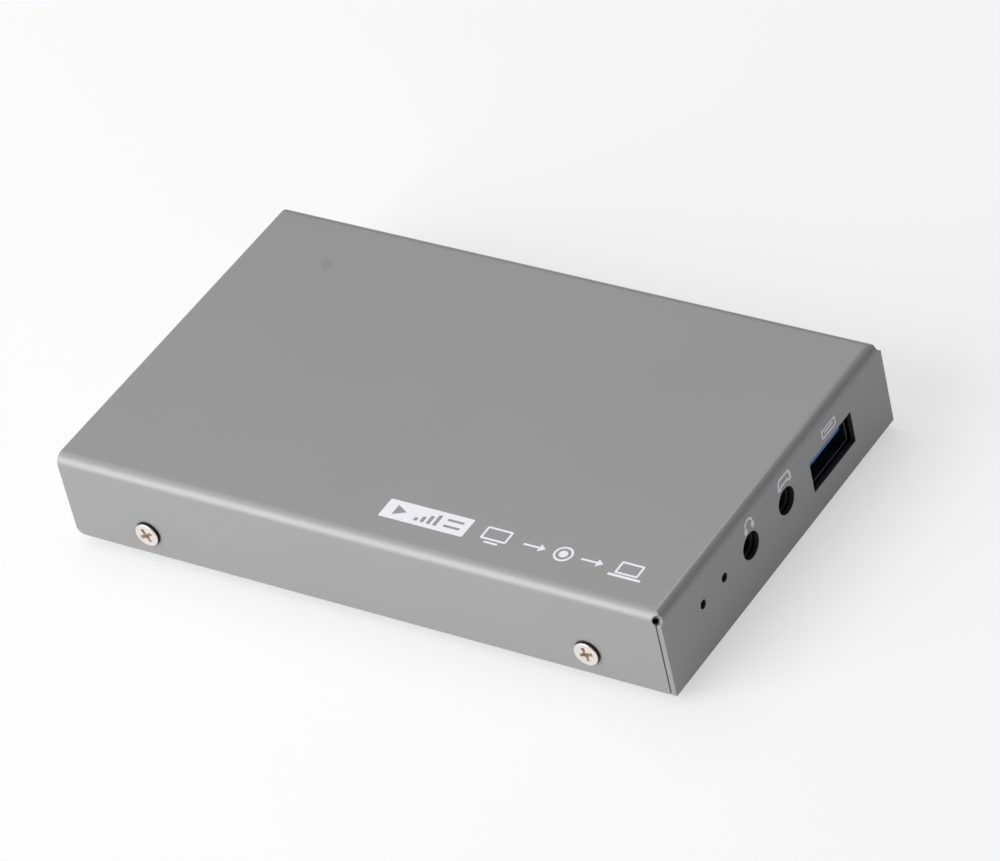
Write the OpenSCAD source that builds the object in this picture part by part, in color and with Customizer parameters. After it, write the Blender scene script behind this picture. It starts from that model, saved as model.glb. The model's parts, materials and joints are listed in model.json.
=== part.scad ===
// A video capture box: a folded sheet cover and tray held together by four side screws, a
// circuit board on four posts, a USB socket, two audio jacks and two lamps at the right end,
// and two HDMI sockets at the left end.
// X runs along the case toward the USB end, Y from front to back and Z up from the floor.
// The origin is on the floor under the middle of the case.

/* [Case] */
// Length of the case between its two end faces
case_l = 120; // [118:0.5:126]
// Width of the case between its front and back faces
case_w = 72.5; // [71.5:0.5:80]
// Height of the cover from its lower edge to its top
cover_h = 17; // [16.5:0.5:22]
// Thickness of the folded sheet
sheet_t = 1; // [0.8:0.1:1.2]
// Outer radius of every fold
bend_r = 2; // [1.6:0.1:2.4]
// Radius of the cover's lower corners at its open end
skirt_corner_r = 1.5; // [0.5:0.1:2]
// Diameter of the relief notch at each folded corner
relief_d = 2; // [1.6:0.1:2.4]
// Width of the seam below each relief notch
seam = 0.2; // [0.1:0.05:0.4]
// Gap between the cover and the tray
fit_gap = 0.15; // [0.1:0.05:0.3]
// Height of the tray's front and back lips
lip_h = 9; // [8:0.5:11]
// Length of floor beyond each end of a lip
lip_inset = 6; // [5:0.5:9]

/* [Feet] */
// Diameter of a foot
foot_d = 8; // [6:0.5:10]
// Height of a foot
foot_h = 1.5; // [1:0.1:3]
// Distance of a foot's middle from the case's faces
foot_inset = 8.5; // [7.5:0.1:9]

/* [Screws] */
// Thread diameter of every screw
screw_d = 2.5; // [2.3:0.1:2.7]
// Diameter of a cover screw's flat head
head_d = 4.7; // [4.4:0.1:5]
// Height by which a cover screw's head stands proud
head_proud = 0.55; // [0.4:0.05:0.7]
// Diameter of the shallow dimple around a cover screw's head
dimple_d = 6.6; // [6:0.1:7.5]
// Length of a cover screw below the case's face
cover_screw_l = 4; // [3.5:0.1:4.5]
// Distance of a cover screw from the nearer end of the case
cover_screw_inset = 16.1; // [12:0.1:24]
// Height of a cover screw above the cover's lower edge
cover_screw_z = 4.5; // [4:0.1:6]

/* [Right end openings] */
// Place of the USB opening behind the case's middle line
usb_y = 17.55; // [16:0.05:19]
// Height of the USB opening's middle above the cover's lower edge
usb_z = 7.9; // [7.6:0.1:8.6]
// Width of the USB opening
usb_hole_w = 13.9; // [13.6:0.1:14.6]
// Height of the USB opening
usb_hole_h = 6.2; // [6:0.1:6.6]
// Place of the headphone jack's axis behind the middle line, so less than 0 in front of it
headphone_y = -9.15; // [-10:0.05:-7.5]
// Place of the chat jack's axis behind the middle line
chat_y = 2.55; // [1:0.05:3.5]
// Height of both jacks' axes above the cover's lower edge
jack_z = 9.6; // [9:0.1:10.2]
// Diameter of a jack opening
jack_hole_d = 4.9; // [4.2:0.1:5.4]
// Place of the power lamp behind the middle line
power_led_y = -24.6; // [-26:0.05:-23.5]
// Place of the status lamp behind the middle line
status_led_y = -17.75; // [-18.5:0.05:-16.75]
// Height of both lamps above the cover's lower edge
led_z = 9.9; // [9:0.1:10.5]
// Diameter of a lamp's pin-hole
led_hole_d = 1.6; // [1:0.1:2]

/* [Left end openings] */
// Distance between the middles of the two HDMI sockets
hdmi_pitch = 28; // [20:0.5:32]
// Play around an HDMI shell in its opening
hdmi_play = 0.3; // [0.2:0.05:0.6]

/* [Board] */
// Thickness of the circuit board
board_t = 1.6; // [1:0.1:1.6]
// Gap between the board's edge and the tips of the cover screws
board_side_gap = 1.25; // [1:0.05:2]
// Gap between the board and the inside of each end
board_end_gap = 1.5; // [1.2:0.1:1.8]
// Distance of a post's axis from the nearer end of the board
post_end_inset = 17.5; // [16.5:0.5:19]
// Distance of a post's axis from the nearer edge of the board
post_edge_inset = 3; // [2.75:0.25:4]
// Diameter of a post
post_d = 5; // [4.4:0.1:5.5]

/* [Sockets] */
// Thickness of a socket's metal shell
shell_t = 0.3; // [0.25:0.05:0.4]
// Width of the USB shell
usb_shell_w = 13.1; // [13:0.05:13.3]
// Height of the USB shell
usb_shell_h = 5.7; // [5.6:0.05:5.9]
// Length of the USB shell
usb_shell_l = 14; // [13:0.1:15]
// Distance of the USB shell's mouth behind the sheet
usb_set_back = 0.3; // [0.2:0.1:0.6]
// Width of an HDMI shell
hdmi_shell_w = 15; // [14.8:0.05:15.2]
// Height of an HDMI shell
hdmi_shell_h = 5.5; // [5.3:0.05:5.7]
// Length of an HDMI shell
hdmi_shell_l = 11.5; // [11:0.1:12.5]
// Distance of an HDMI shell's mouth behind the left face
hdmi_set_back = 0.2; // [0.1:0.05:0.6]
// Diameter of a jack's bore, for a plug of 3.5
jack_bore_d = 3.6; // [3.55:0.05:3.7]
// Depth of a jack's bore
jack_bore_l = 14.2; // [14:0.1:14.5]
// Width of a jack's body
jack_w = 7; // [6.4:0.1:7.4]

/* [Hidden] */
$fn = 48;
// Length by which a cut runs past a face
over = 0.5;
// Play of a fixed fit
play = 0.1;

// Levels
cover_top = foot_h + cover_h;
floor_top = foot_h + sheet_t;
board_top = foot_h + usb_z - usb_shell_h / 2;
board_bottom = board_top - board_t;

// Corner reliefs
relief_drop = 1.4;
relief_bite = 0.6;
relief_flare = 0.35;

// Tray
tray_w = case_w - 2 * (sheet_t + fit_gap);
tray_right = case_l / 2 - sheet_t - fit_gap;
lip_notch = 1;
lip_left = -case_l / 2 + lip_inset;
lip_l = tray_right - lip_inset - lip_left;
collar_d = 4.2;
collar_h = 1;

// Screws
head_rim = 0.35;
dimple_depth = 0.2;
recess_l = 2.7;
recess_w = 0.6;
recess_depth = 0.9;
pan_d = 4.5;
pan_h = 1.6;
board_screw_l = 4;

// Posts and board
spigot_d = 3.4;
board_w = case_w - 2 * (cover_screw_l + board_side_gap);
board_left = -case_l / 2 + sheet_t + board_end_gap;
board_right = case_l / 2 - sheet_t - board_end_gap;
board_hole_d = screw_d + 0.4;
post_x = board_right - post_end_inset;
post_y = board_w / 2 - post_edge_inset;

// Socket legs and contacts
leg_w = 1.2;
leg_reach = 0.8;
contact_t = 0.2;
contact_foot = 0.8;
tail_out = 0.5;

// USB socket
usb_block_l = 3.5;
usb_tongue_w = 11.1;
usb_tongue_t = 1.84;
usb_tongue_drop = 0.72;
usb_tongue_recess = 0.5;
usb_tongue_low = usb_shell_h - shell_t - usb_tongue_drop - usb_tongue_t;
usb_contact_w = 0.6;
usb_signal_y = [-3.5, -1, 1, 3.5];
usb_signal_tip = -1.5;
usb_fast_y = [-4.7, -2.25, 0, 2.25, 4.7];
usb_fast_tip = -4.5;
usb_legs = [-12, -5];

// HDMI sockets
hdmi_shoulder = 1.9;
hdmi_sole_w = 11.2;
hdmi_block_l = 3;
hdmi_tongue_w = 10.6;
hdmi_tongue_t = 1.2;
hdmi_tongue_low = 2.35;
hdmi_tongue_recess = 1;
hdmi_contact_w = 0.3;
hdmi_contact_pitch = 1;
hdmi_contact_tip = -1.6;
hdmi_upper_count = 10;
hdmi_lower_count = 9;
hdmi_legs = [-10, -3.5];

// Jacks
jack_set_back = 0.2;
jack_nose_d = 6.4;
jack_nose_l = 1;
jack_back_wall = 1.2;
jack_top = 3.6;
jack_rise = jack_z - usb_z + usb_shell_h / 2;
jack_contact_x = [-3.5, -6.5, -9.5, -12.5];
jack_contact_l = 2;
jack_nub_l = 1.2;
jack_nub_h = 1;
jack_contact_top = 1.2;

// Lamps
led_set_back = 0.5;
led_housing_l = 4.6;
led_housing_w = 4.4;
led_housing_top = 2.4;
led_lens_d = 3;
led_lens_l = 3.4;
led_dome_x = -1.3;
led_lead_w = 0.5;
led_lead_y = 0.7;
led_rise = led_z - usb_z + usb_shell_h / 2;

// Parts on the board: places from its middle or from its nearer end, sizes in X, Y and Z
processor_at = [-2, 6];
processor_size = [17, 17, 1.5];
pad_size = [15, 15, 0.5];
sink_size = [22, 22, 7];
sink_base = 1.6;
sink_fin_t = 1;
sink_fins = 7;
receiver_end = 25.5;
receiver_at = [board_left + receiver_end, hdmi_pitch / 2];
receiver_size = [14, 14, 0.9];
transmitter_at = [board_left + receiver_end, -hdmi_pitch / 2];
transmitter_size = [10, 10, 0.9];
controller_end = 29.5;
controller_at = [board_right - controller_end, 13];
controller_size = [10, 10, 1.1];
memory_at = [[-9, -20], [3, -20]];
memory_size = [9, 13, 1.1];
flash_at = [14, -6];
flash_size = [3.9, 4.9, 1.5];
flash_leg_pitch = 1.27;
flash_leg_w = 0.4;
flash_leg_l = 1;
codec_end = 24.5;
codec_at = [board_right - codec_end, -3];
codec_size = [7, 7, 0.9];
crystal_end = 41.5;
crystal_at = [[-8, 24], [board_right - crystal_end, 25]];
crystal_size = [10.2, 3.8, 3.6];
inductor_end = 35.5;
inductor_y = [-22.5, -14];
inductor_size = [7, 7, 4];
inductor_corner = 1;
electrolytic_end = 15.5;
electrolytic_step = [8, 4];
electrolytic_y = -18;
electrolytic_x = board_right - electrolytic_end;
electrolytic_at = [
    [electrolytic_x, electrolytic_y],
    [electrolytic_x - electrolytic_step[0], electrolytic_y - electrolytic_step[1]],
    [electrolytic_x - electrolytic_step[0], electrolytic_y + electrolytic_step[1]]
];
electrolytic_d = 6.3;
electrolytic_h = 7.7;
electrolytic_base = [6.6, 6.6, 0.6];
regulator_end = 27.5;
regulator_at = [[-2, -9], [board_right - regulator_end, 23.5]];
regulator_size = [6.5, 3.5, 1.6];
regulator_tab = [3, 1.7, 0.3];
regulator_leg_w = 0.7;
regulator_leg_pitch = 2.3;
ceramic_size = [1.6, 0.8, 0.8];
ceramic_count = 7;
ceramic_pitch = 2.4;
resistor_size = [1, 1.6, 0.45];
resistor_count = 9;
resistor_pitch = 2.2;
resistor_gap = 3;

// Outlines

// The part of a disc in its first quadrant
module quarter_disc(r) {
    intersection() {
        circle(r = r);
        square(r);
    }
}

// A flat-based outline with two round upper corners, from low to high
module arch(width, low, high, r) {
    translate([-width / 2, low])
        square([width, high - r - low]);
    translate([r - width / 2, high - r])
        square([width - 2 * r, r]);
    for (side = [-1, 1])
        translate([side * (width / 2 - r), high - r])
            rotate(45 - 45 * side)
                quarter_disc(r);
}

// A round-ended outline along X
module slot_outline(length, width) {
    translate([width / 2 - length / 2, -width / 2])
        square([length - width, width]);
    for (side = [-1, 1])
        translate([side * (length - width) / 2, 0])
            intersection() {
                circle(d = width);
                translate([(side - 1) * width / 2, -width / 2])
                    square(width);
            }
}

// An HDMI shell's outline seen from its mouth, grown by a margin on every side
module hdmi_outline(margin) {
    half = hdmi_shell_w / 2 + margin;
    sole = hdmi_sole_w / 2 + margin / 2;
    polygon([
        [-half, hdmi_shell_h + margin], [half, hdmi_shell_h + margin], [half, hdmi_shoulder - margin / 2],
        [sole, -margin], [-sole, -margin], [-half, hdmi_shoulder - margin / 2]
    ]);
}

// Places

module at_corners(x, y) {
    for (sx = [-1, 1], sy = [-1, 1])
        translate([sx * x, sy * y, 0])
            children();
}

// Each cover screw's place, with +Z out of the case's face
module at_cover_screws() {
    for (sx = [-1, 1], sy = [-1, 1])
        translate([sx * (case_l / 2 - cover_screw_inset), sy * case_w / 2, foot_h + cover_screw_z])
            rotate([-90 * sy, 0, 0])
                children();
}

// Socket frames: X = 0 at the mouth, the body along -X, Z = 0 on the board
module at_usb() {
    translate([case_l / 2 - sheet_t - usb_set_back, usb_y, board_top])
        children();
}

module at_hdmi(side) {
    translate([hdmi_set_back - case_l / 2, side * hdmi_pitch / 2, board_top])
        mirror([1, 0, 0])
            children();
}

// Jack and lamp frames: X = 0 at the front, Z = 0 on the axis
module at_jack(y) {
    translate([case_l / 2 - sheet_t - jack_set_back, y, foot_h + jack_z])
        children();
}

module at_led(y) {
    translate([case_l / 2 - sheet_t - led_set_back, y, foot_h + led_z])
        children();
}

module on_board(at) {
    translate([at[0], at[1], board_top])
        children();
}

// Shapes that repeat

// A straight extrusion along X of an outline drawn in Y and Z
module along_x(length) {
    rotate([90, 0, 90])
        linear_extrude(length)
            children();
}

// A straight extrusion across Y, about its middle, of an outline drawn in X and Z
module across_y(width) {
    rotate([90, 0, 0])
        linear_extrude(width, center = true)
            children();
}

// A block standing on the plane Z = 0, centred on the Z axis
module block(size) {
    translate([-size[0] / 2, -size[1] / 2, 0])
        cube(size);
}

// The section of a fold, in the quadrant below and beyond its centre
module fold_section() {
    rotate(-90)
        difference() {
            quarter_disc(bend_r);
            circle(r = bend_r - sheet_t);
        }
}

// The cover's closed form, inset from its faces, from a left end and a lower level
module cover_form(inset, left, low) {
    high = cover_top - inset;
    intersection() {
        translate([left, 0, 0])
            along_x(2 * case_l)
                arch(case_w - 2 * inset, low, high, bend_r - inset);
        translate([-case_l / 2, 0, 0])
            across_y(case_w)
                arch(2 * (case_l - inset), low, high, bend_r - inset);
    }
}

// A flat contact: a blade from its tip to its tail, down to a foot on the board
module contact(tip, tail, level, width) {
    across_y(width) {
        translate([tail, level])
            square([tip - tail, contact_t]);
        translate([tail, 0])
            square([contact_t, level + contact_t]);
        translate([tail - contact_foot, 0])
            square([contact_foot + contact_t, contact_t]);
    }
}

// The legs of a socket's shell, through the board
module shell_legs(places, width, rise) {
    for (x = places, side = [-1, 1])
        translate([x, side * (width - shell_t) / 2, -board_t - leg_reach])
            block([leg_w, shell_t, board_t + leg_reach + rise]);
}

// Clearance slots in the board for those legs
module leg_slots(places, width) {
    for (x = places, side = [-1, 1])
        translate([x, side * (width - shell_t) / 2, -board_t - over])
            block([leg_w + 4 * play, shell_t + 4 * play, board_t + 2 * over]);
}

// Case

// The relief of one folded corner, on the side of +Y: a flared notch in the side's edge, a bite
// in the end's edge, and the seam below them
module corner_relief() {
    flare = 2 * relief_flare;
    inside = case_l / 2 - sheet_t;
    level = cover_top - relief_drop;
    intersection() {
        translate([inside, case_w / 2 - sheet_t, level])
            rotate([-90, 0, 0])
                cylinder(
                    d1 = relief_d + flare, d2 = relief_d - flare * over / sheet_t, h = sheet_t + over
                );
        translate([inside - 2 * relief_d, 0, 0])
            cube([2 * relief_d, case_w, 2 * cover_top]);
    }
    translate([inside - over, case_w / 2 + relief_d / 2 - relief_bite, level])
        rotate([0, 90, 0])
            cylinder(d = relief_d, h = sheet_t + 2 * over);
    translate([inside - seam, case_w / 2 - sheet_t - over, foot_h - over])
        cube([seam, sheet_t + 2 * over, cover_h - relief_drop + over]);
}

// What rounds the cover's lower corners at its open end
module skirt_corner() {
    translate([-case_l / 2, 0, foot_h])
        across_y(case_w + 2 * over)
            difference() {
                translate([-over, -over])
                    square(skirt_corner_r + over);
                translate([skirt_corner_r, skirt_corner_r])
                    circle(r = skirt_corner_r);
            }
}

module right_end_openings() {
    face_x = case_l / 2 - sheet_t - over;
    depth = sheet_t + 2 * over;
    translate([face_x, usb_y - usb_hole_w / 2, foot_h + usb_z - usb_hole_h / 2])
        cube([depth, usb_hole_w, usb_hole_h]);
    for (y = [headphone_y, chat_y])
        translate([face_x, y, foot_h + jack_z])
            rotate([0, 90, 0])
                cylinder(d = jack_hole_d, h = depth);
    for (y = [power_led_y, status_led_y])
        translate([face_x, y, foot_h + led_z])
            rotate([0, 90, 0])
                cylinder(d = led_hole_d, h = depth);
}

// A flat screw head's cone, from the shank up to its rim, grown by a margin
module head_cone(margin) {
    rim_z = head_proud - head_rim;
    rise = (head_d - screw_d) / 2;
    translate([0, 0, rim_z - rise])
        cylinder(d1 = screw_d + 2 * margin, d2 = head_d + 2 * margin, h = rise);
}

// The shallow cone by which the sheet is drawn in around a cover screw's head
module dimple() {
    spread = (dimple_d - head_d) / dimple_depth;
    translate([0, 0, -dimple_depth])
        cylinder(d1 = head_d, d2 = dimple_d + spread * over, h = dimple_depth + over);
}

module top_cover() {
    color("#8e908f")
        difference() {
            cover_form(0, -case_l / 2, foot_h);
            cover_form(sheet_t, -case_l / 2 - over, foot_h - over);
            for (side = [0, 1])
                mirror([0, side, 0])
                    corner_relief();
            skirt_corner();
            right_end_openings();
            at_cover_screws() {
                head_cone(play / 2);
                dimple();
                translate([0, 0, -sheet_t - over])
                    cylinder(d = screw_d + 2 * play, h = sheet_t + over);
            }
        }
}

// The floor, with a full-width tab at each end
module tray_floor() {
    left = bend_r - case_l / 2;
    tab_l = lip_inset - lip_notch;
    translate([left, bend_r - tray_w / 2, foot_h])
        cube([tray_right - left, tray_w - 2 * bend_r, sheet_t]);
    translate([left, -tray_w / 2, foot_h])
        cube([tab_l - bend_r, tray_w, sheet_t]);
    translate([tray_right - tab_l, -tray_w / 2, foot_h])
        cube([tab_l, tray_w, sheet_t]);
}

// One lip with its fold, on the side of +Y
module tray_lip() {
    translate([lip_left, tray_w / 2 - bend_r, foot_h + bend_r])
        along_x(lip_l)
            fold_section();
    translate([lip_left, tray_w / 2 - sheet_t, foot_h + bend_r])
        cube([lip_l, sheet_t, lip_h - bend_r]);
}

// The left end panel with its fold
module tray_panel() {
    panel_top = cover_top - sheet_t - fit_gap;
    translate([bend_r - case_l / 2, 0, foot_h + bend_r])
        mirror([1, 0, 0])
            across_y(tray_w)
                fold_section();
    translate([-case_l / 2, 0, 0])
        along_x(sheet_t)
            arch(tray_w, foot_h + bend_r, panel_top, bend_r);
}

module base_tray() {
    inner_face = 2 * sheet_t + fit_gap;
    color("#858786")
        difference() {
            union() {
                tray_floor();
                tray_panel();
                for (side = [0, 1])
                    mirror([0, side, 0])
                        tray_lip();
                at_cover_screws()
                    translate([0, 0, -inner_face - collar_h])
                        cylinder(d = collar_d, h = collar_h + sheet_t / 2);
            }
            at_cover_screws()
                translate([0, 0, -inner_face - collar_h - over])
                    cylinder(d = screw_d, h = inner_face + collar_h);
            at_corners(post_x, post_y)
                translate([0, 0, foot_h - over])
                    cylinder(d = spigot_d + play, h = sheet_t + 2 * over);
            for (side = [-1, 1])
                translate([-case_l / 2 - over, side * hdmi_pitch / 2, board_top])
                    along_x(sheet_t + 2 * over)
                        hdmi_outline(hdmi_play);
        }
}

module cover_screws() {
    color("#d2c9c6")
        at_cover_screws()
            difference() {
                union() {
                    translate([0, 0, head_proud - head_rim])
                        cylinder(d = head_d, h = head_rim);
                    head_cone(0);
                    translate([0, 0, -cover_screw_l])
                        cylinder(d = screw_d - play, h = cover_screw_l);
                }
                for (turn = [0, 90])
                    rotate(turn)
                        translate([0, 0, head_proud - recess_depth])
                            block([recess_l, recess_w, recess_depth + over]);
            }
}

module rubber_feet() {
    chamfer = foot_h / 3;
    color("#1d1e1f")
        at_corners(case_l / 2 - foot_inset, case_w / 2 - foot_inset)
            union() {
                cylinder(d1 = foot_d - 2 * chamfer, d2 = foot_d, h = chamfer);
                translate([0, 0, chamfer])
                    cylinder(d = foot_d, h = foot_h - chamfer);
            }
}

// Board and what holds it

module board_posts() {
    color("#c9b26a")
        at_corners(post_x, post_y)
            difference() {
                union() {
                    translate([0, 0, floor_top])
                        cylinder(d = post_d, h = board_bottom - floor_top);
                    translate([0, 0, foot_h])
                        cylinder(d = spigot_d, h = sheet_t);
                }
                translate([0, 0, foot_h - over])
                    cylinder(d = screw_d, h = board_bottom - foot_h + 2 * over);
            }
}

module board_screws() {
    color("#bfc1c2")
        at_corners(post_x, post_y)
            difference() {
                union() {
                    translate([0, 0, board_top])
                        cylinder(d = pan_d, h = pan_h);
                    translate([0, 0, board_top - board_screw_l])
                        cylinder(d = screw_d - play, h = board_screw_l);
                }
                for (turn = [0, 90])
                    rotate(turn)
                        translate([0, 0, board_top + pan_h - recess_depth])
                            block([recess_l, recess_w, recess_depth + over]);
            }
}

module main_board() {
    color("#1f5a35")
        difference() {
            translate([board_left, -board_w / 2, board_bottom])
                cube([board_right - board_left, board_w, board_t]);
            at_corners(post_x, post_y)
                translate([0, 0, board_bottom - over])
                    cylinder(d = board_hole_d, h = board_t + 2 * over);
            at_usb()
                leg_slots(usb_legs, usb_shell_w);
            for (side = [-1, 1])
                at_hdmi(side)
                    leg_slots(hdmi_legs, hdmi_shell_w);
        }
}

// USB socket

module usb_blades() {
    tail = -usb_shell_l - tail_out;
    level = usb_tongue_low - contact_t;
    for (y = usb_signal_y)
        translate([0, y, 0])
            contact(usb_signal_tip, tail, level, usb_contact_w);
    for (y = usb_fast_y)
        translate([0, y, 0])
            contact(usb_fast_tip, tail, level, usb_contact_w);
}

module usb_shell() {
    color("#b9bdc0")
        at_usb()
            difference() {
                union() {
                    translate([-usb_shell_l / 2, 0, 0])
                        block([usb_shell_l, usb_shell_w, usb_shell_h]);
                    shell_legs(usb_legs, usb_shell_w, shell_t);
                }
                translate([-usb_shell_l / 2, 0, shell_t])
                    block([usb_shell_l + 2 * over, usb_shell_w - 2 * shell_t, usb_shell_h - 2 * shell_t]);
                translate([-usb_shell_l, 0, -over])
                    block([2 * usb_block_l, usb_shell_w - 2 * shell_t, shell_t + 2 * over]);
            }
}

module usb_insulator() {
    block_top = usb_shell_h - shell_t - play;
    tongue_l = usb_shell_l - usb_tongue_recess;
    color("#1f62b5")
        at_usb()
            difference() {
                union() {
                    translate([usb_block_l / 2 - usb_shell_l, 0, 0])
                        block([usb_block_l, usb_shell_w - 2 * shell_t - 2 * play, block_top]);
                    translate([-usb_tongue_recess - tongue_l / 2, 0, usb_tongue_low])
                        block([tongue_l, usb_tongue_w, usb_tongue_t]);
                }
                usb_blades();
            }
}

module usb_contacts() {
    color("#d8b45a")
        at_usb()
            usb_blades();
}

// HDMI sockets

module hdmi_blades() {
    tail = -hdmi_shell_l - tail_out;
    for (i = [0 : hdmi_upper_count - 1])
        translate([0, (i - (hdmi_upper_count - 1) / 2) * hdmi_contact_pitch, 0])
            contact(hdmi_contact_tip, tail, hdmi_tongue_low + hdmi_tongue_t, hdmi_contact_w);
    for (i = [0 : hdmi_lower_count - 1])
        translate([0, (i - (hdmi_lower_count - 1) / 2) * hdmi_contact_pitch, 0])
            contact(hdmi_contact_tip, tail, hdmi_tongue_low - contact_t, hdmi_contact_w);
}

module hdmi_shell(side) {
    color("#b9bdc0")
        at_hdmi(side)
            difference() {
                union() {
                    translate([-hdmi_shell_l, 0, 0])
                        along_x(hdmi_shell_l)
                            hdmi_outline(0);
                    shell_legs(hdmi_legs, hdmi_shell_w, hdmi_shoulder + leg_w);
                }
                translate([-hdmi_shell_l - over, 0, 0])
                    along_x(hdmi_shell_l + 2 * over)
                        hdmi_outline(-shell_t);
                translate([-hdmi_shell_l, 0, -over])
                    block([2 * hdmi_block_l, hdmi_sole_w - 2 * shell_t, shell_t + 2 * over]);
            }
}

module hdmi_insulator(side) {
    tongue_l = hdmi_shell_l - hdmi_tongue_recess;
    color("#202224")
        at_hdmi(side)
            difference() {
                union() {
                    translate([-hdmi_shell_l, 0, 0])
                        along_x(hdmi_block_l)
                            hdmi_outline(-shell_t - play);
                    translate([hdmi_block_l / 2 - hdmi_shell_l, 0, 0])
                        block([hdmi_block_l, hdmi_sole_w - 3 * shell_t, hdmi_shoulder]);
                    translate([-hdmi_tongue_recess - tongue_l / 2, 0, hdmi_tongue_low])
                        block([tongue_l, hdmi_tongue_w, hdmi_tongue_t]);
                }
                hdmi_blades();
            }
}

module hdmi_contacts(side) {
    color("#d8b45a")
        at_hdmi(side)
            hdmi_blades();
}

// Audio jacks

// The four springs of a jack, two on each side, each with a nub just clear of the bore
module jack_springs() {
    for (i = [0 : len(jack_contact_x) - 1])
        mirror([0, i % 2, 0])
            translate([jack_contact_x[i], 0, 0]) {
                translate([0, (jack_w - contact_t) / 2, -jack_rise])
                    block([jack_contact_l, contact_t, jack_rise + jack_contact_top]);
                translate([0, (jack_w + jack_bore_d + 2 * play) / 4, -jack_nub_h / 2])
                    block([jack_nub_l, (jack_w - jack_bore_d - 2 * play) / 2, jack_nub_h]);
                translate([0, (jack_w + contact_foot) / 2, -jack_rise])
                    block([jack_contact_l, contact_foot, contact_t]);
            }
}

module jack_body(y) {
    body_l = jack_bore_l + jack_back_wall - jack_nose_l;
    color("#17191a")
        at_jack(y)
            difference() {
                union() {
                    translate([-jack_nose_l - body_l / 2, 0, -jack_rise])
                        block([body_l, jack_w, jack_rise + jack_top]);
                    translate([-jack_nose_l - over, 0, 0])
                        rotate([0, 90, 0])
                            cylinder(d = jack_nose_d, h = jack_nose_l + over);
                }
                translate([-jack_bore_l, 0, 0])
                    rotate([0, 90, 0])
                        cylinder(d = jack_bore_d, h = jack_bore_l + over);
                jack_springs();
            }
}

module jack_contacts(y) {
    color("#cdbb86")
        at_jack(y)
            jack_springs();
}

// Lamps

module led_housings() {
    color("#141516")
        for (y = [power_led_y, status_led_y])
            at_led(y)
                difference() {
                    translate([-led_housing_l / 2, 0, -led_rise])
                        block([led_housing_l, led_housing_w, led_rise + led_housing_top]);
                    translate([-led_housing_l - over, 0, 0])
                        rotate([0, 90, 0])
                            cylinder(d = led_lens_d + 2 * play, h = led_housing_l + 2 * over);
                }
}

module led_lens(y, tint) {
    color(tint)
        at_led(y)
            union() {
                translate([led_dome_x - led_lens_l, 0, 0])
                    rotate([0, 90, 0])
                        cylinder(d = led_lens_d, h = led_lens_l);
                translate([led_dome_x, 0, 0])
                    sphere(d = led_lens_d);
            }
}

module led_leads() {
    back = led_dome_x - led_lens_l;
    color("#c8cacb")
        for (y = [power_led_y, status_led_y], side = [-1, 1])
            at_led(y)
                translate([0, side * led_lead_y, -led_rise])
                    contact(back, back - tail_out, led_rise - contact_t / 2, led_lead_w);
}

// Parts on the board

module video_processor() {
    color("#26282a")
        on_board(processor_at)
            block(processor_size);
}

module thermal_pad() {
    color("#8f9aa6")
        on_board(processor_at)
            translate([0, 0, processor_size[2]])
                block(pad_size);
}

module heat_sink() {
    pitch = (sink_size[1] - sink_fin_t) / (sink_fins - 1);
    color("#9fa3a6")
        on_board(processor_at)
            translate([0, 0, processor_size[2] + pad_size[2]]) {
                block([sink_size[0], sink_size[1], sink_base]);
                for (i = [0 : sink_fins - 1])
                    translate([0, (i - (sink_fins - 1) / 2) * pitch, 0])
                        block([sink_size[0], sink_fin_t, sink_size[2]]);
            }
}

module plain_chip(at, size) {
    color("#232527")
        on_board(at)
            block(size);
}

module memory_chips() {
    for (at = memory_at)
        plain_chip(at, memory_size);
}

module flash_chip() {
    color("#232527")
        on_board(flash_at) {
            block(flash_size);
            for (i = [-1.5 : 1.5], side = [-1, 1])
                translate([side * (flash_size[0] + flash_leg_l) / 2, i * flash_leg_pitch, 0])
                    block([flash_leg_l + play, flash_leg_w, contact_t]);
        }
}

module crystals() {
    color("#c3c6c8")
        for (at = crystal_at)
            on_board(at)
                linear_extrude(crystal_size[2])
                    slot_outline(crystal_size[0], crystal_size[1]);
}

module power_inductors() {
    half = [inductor_size[0] / 2, inductor_size[1] / 2];
    cut = inductor_corner;
    color("#4a4c4f")
        for (y = inductor_y)
            on_board([board_right - inductor_end, y])
                linear_extrude(inductor_size[2])
                    polygon([
                        [cut - half[0], -half[1]], [half[0] - cut, -half[1]], [half[0], cut - half[1]],
                        [half[0], half[1] - cut], [half[0] - cut, half[1]], [cut - half[0], half[1]],
                        [-half[0], half[1] - cut], [-half[0], cut - half[1]]
                    ]);
}

module capacitor_cans() {
    color("#c9ccce")
        for (at = electrolytic_at)
            on_board(at)
                translate([0, 0, electrolytic_base[2]])
                    cylinder(d = electrolytic_d, h = electrolytic_h - electrolytic_base[2]);
}

module capacitor_bases() {
    color("#1b1c1d")
        for (at = electrolytic_at)
            on_board(at)
                block(electrolytic_base);
}

module regulators() {
    color("#2a2c2e")
        for (at = regulator_at)
            on_board(at) {
                block(regulator_size);
                translate([0, (regulator_size[1] + regulator_tab[1]) / 2, 0])
                    block([regulator_tab[0], regulator_tab[1] + play, regulator_tab[2]]);
                for (i = [-1, 0, 1])
                    translate([i * regulator_leg_pitch, -(regulator_size[1] + regulator_tab[1]) / 2, 0])
                        block([regulator_leg_w, regulator_tab[1] + play, regulator_tab[2]]);
            }
}

module ceramic_capacitors() {
    row_y = processor_size[1] / 2 + 2 * ceramic_size[1];
    color("#b59a78")
        for (i = [0 : ceramic_count - 1], side = [-1, 1])
            on_board([
                processor_at[0] + (i - (ceramic_count - 1) / 2) * ceramic_pitch,
                processor_at[1] + side * row_y
            ])
                block(ceramic_size);
}

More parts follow.
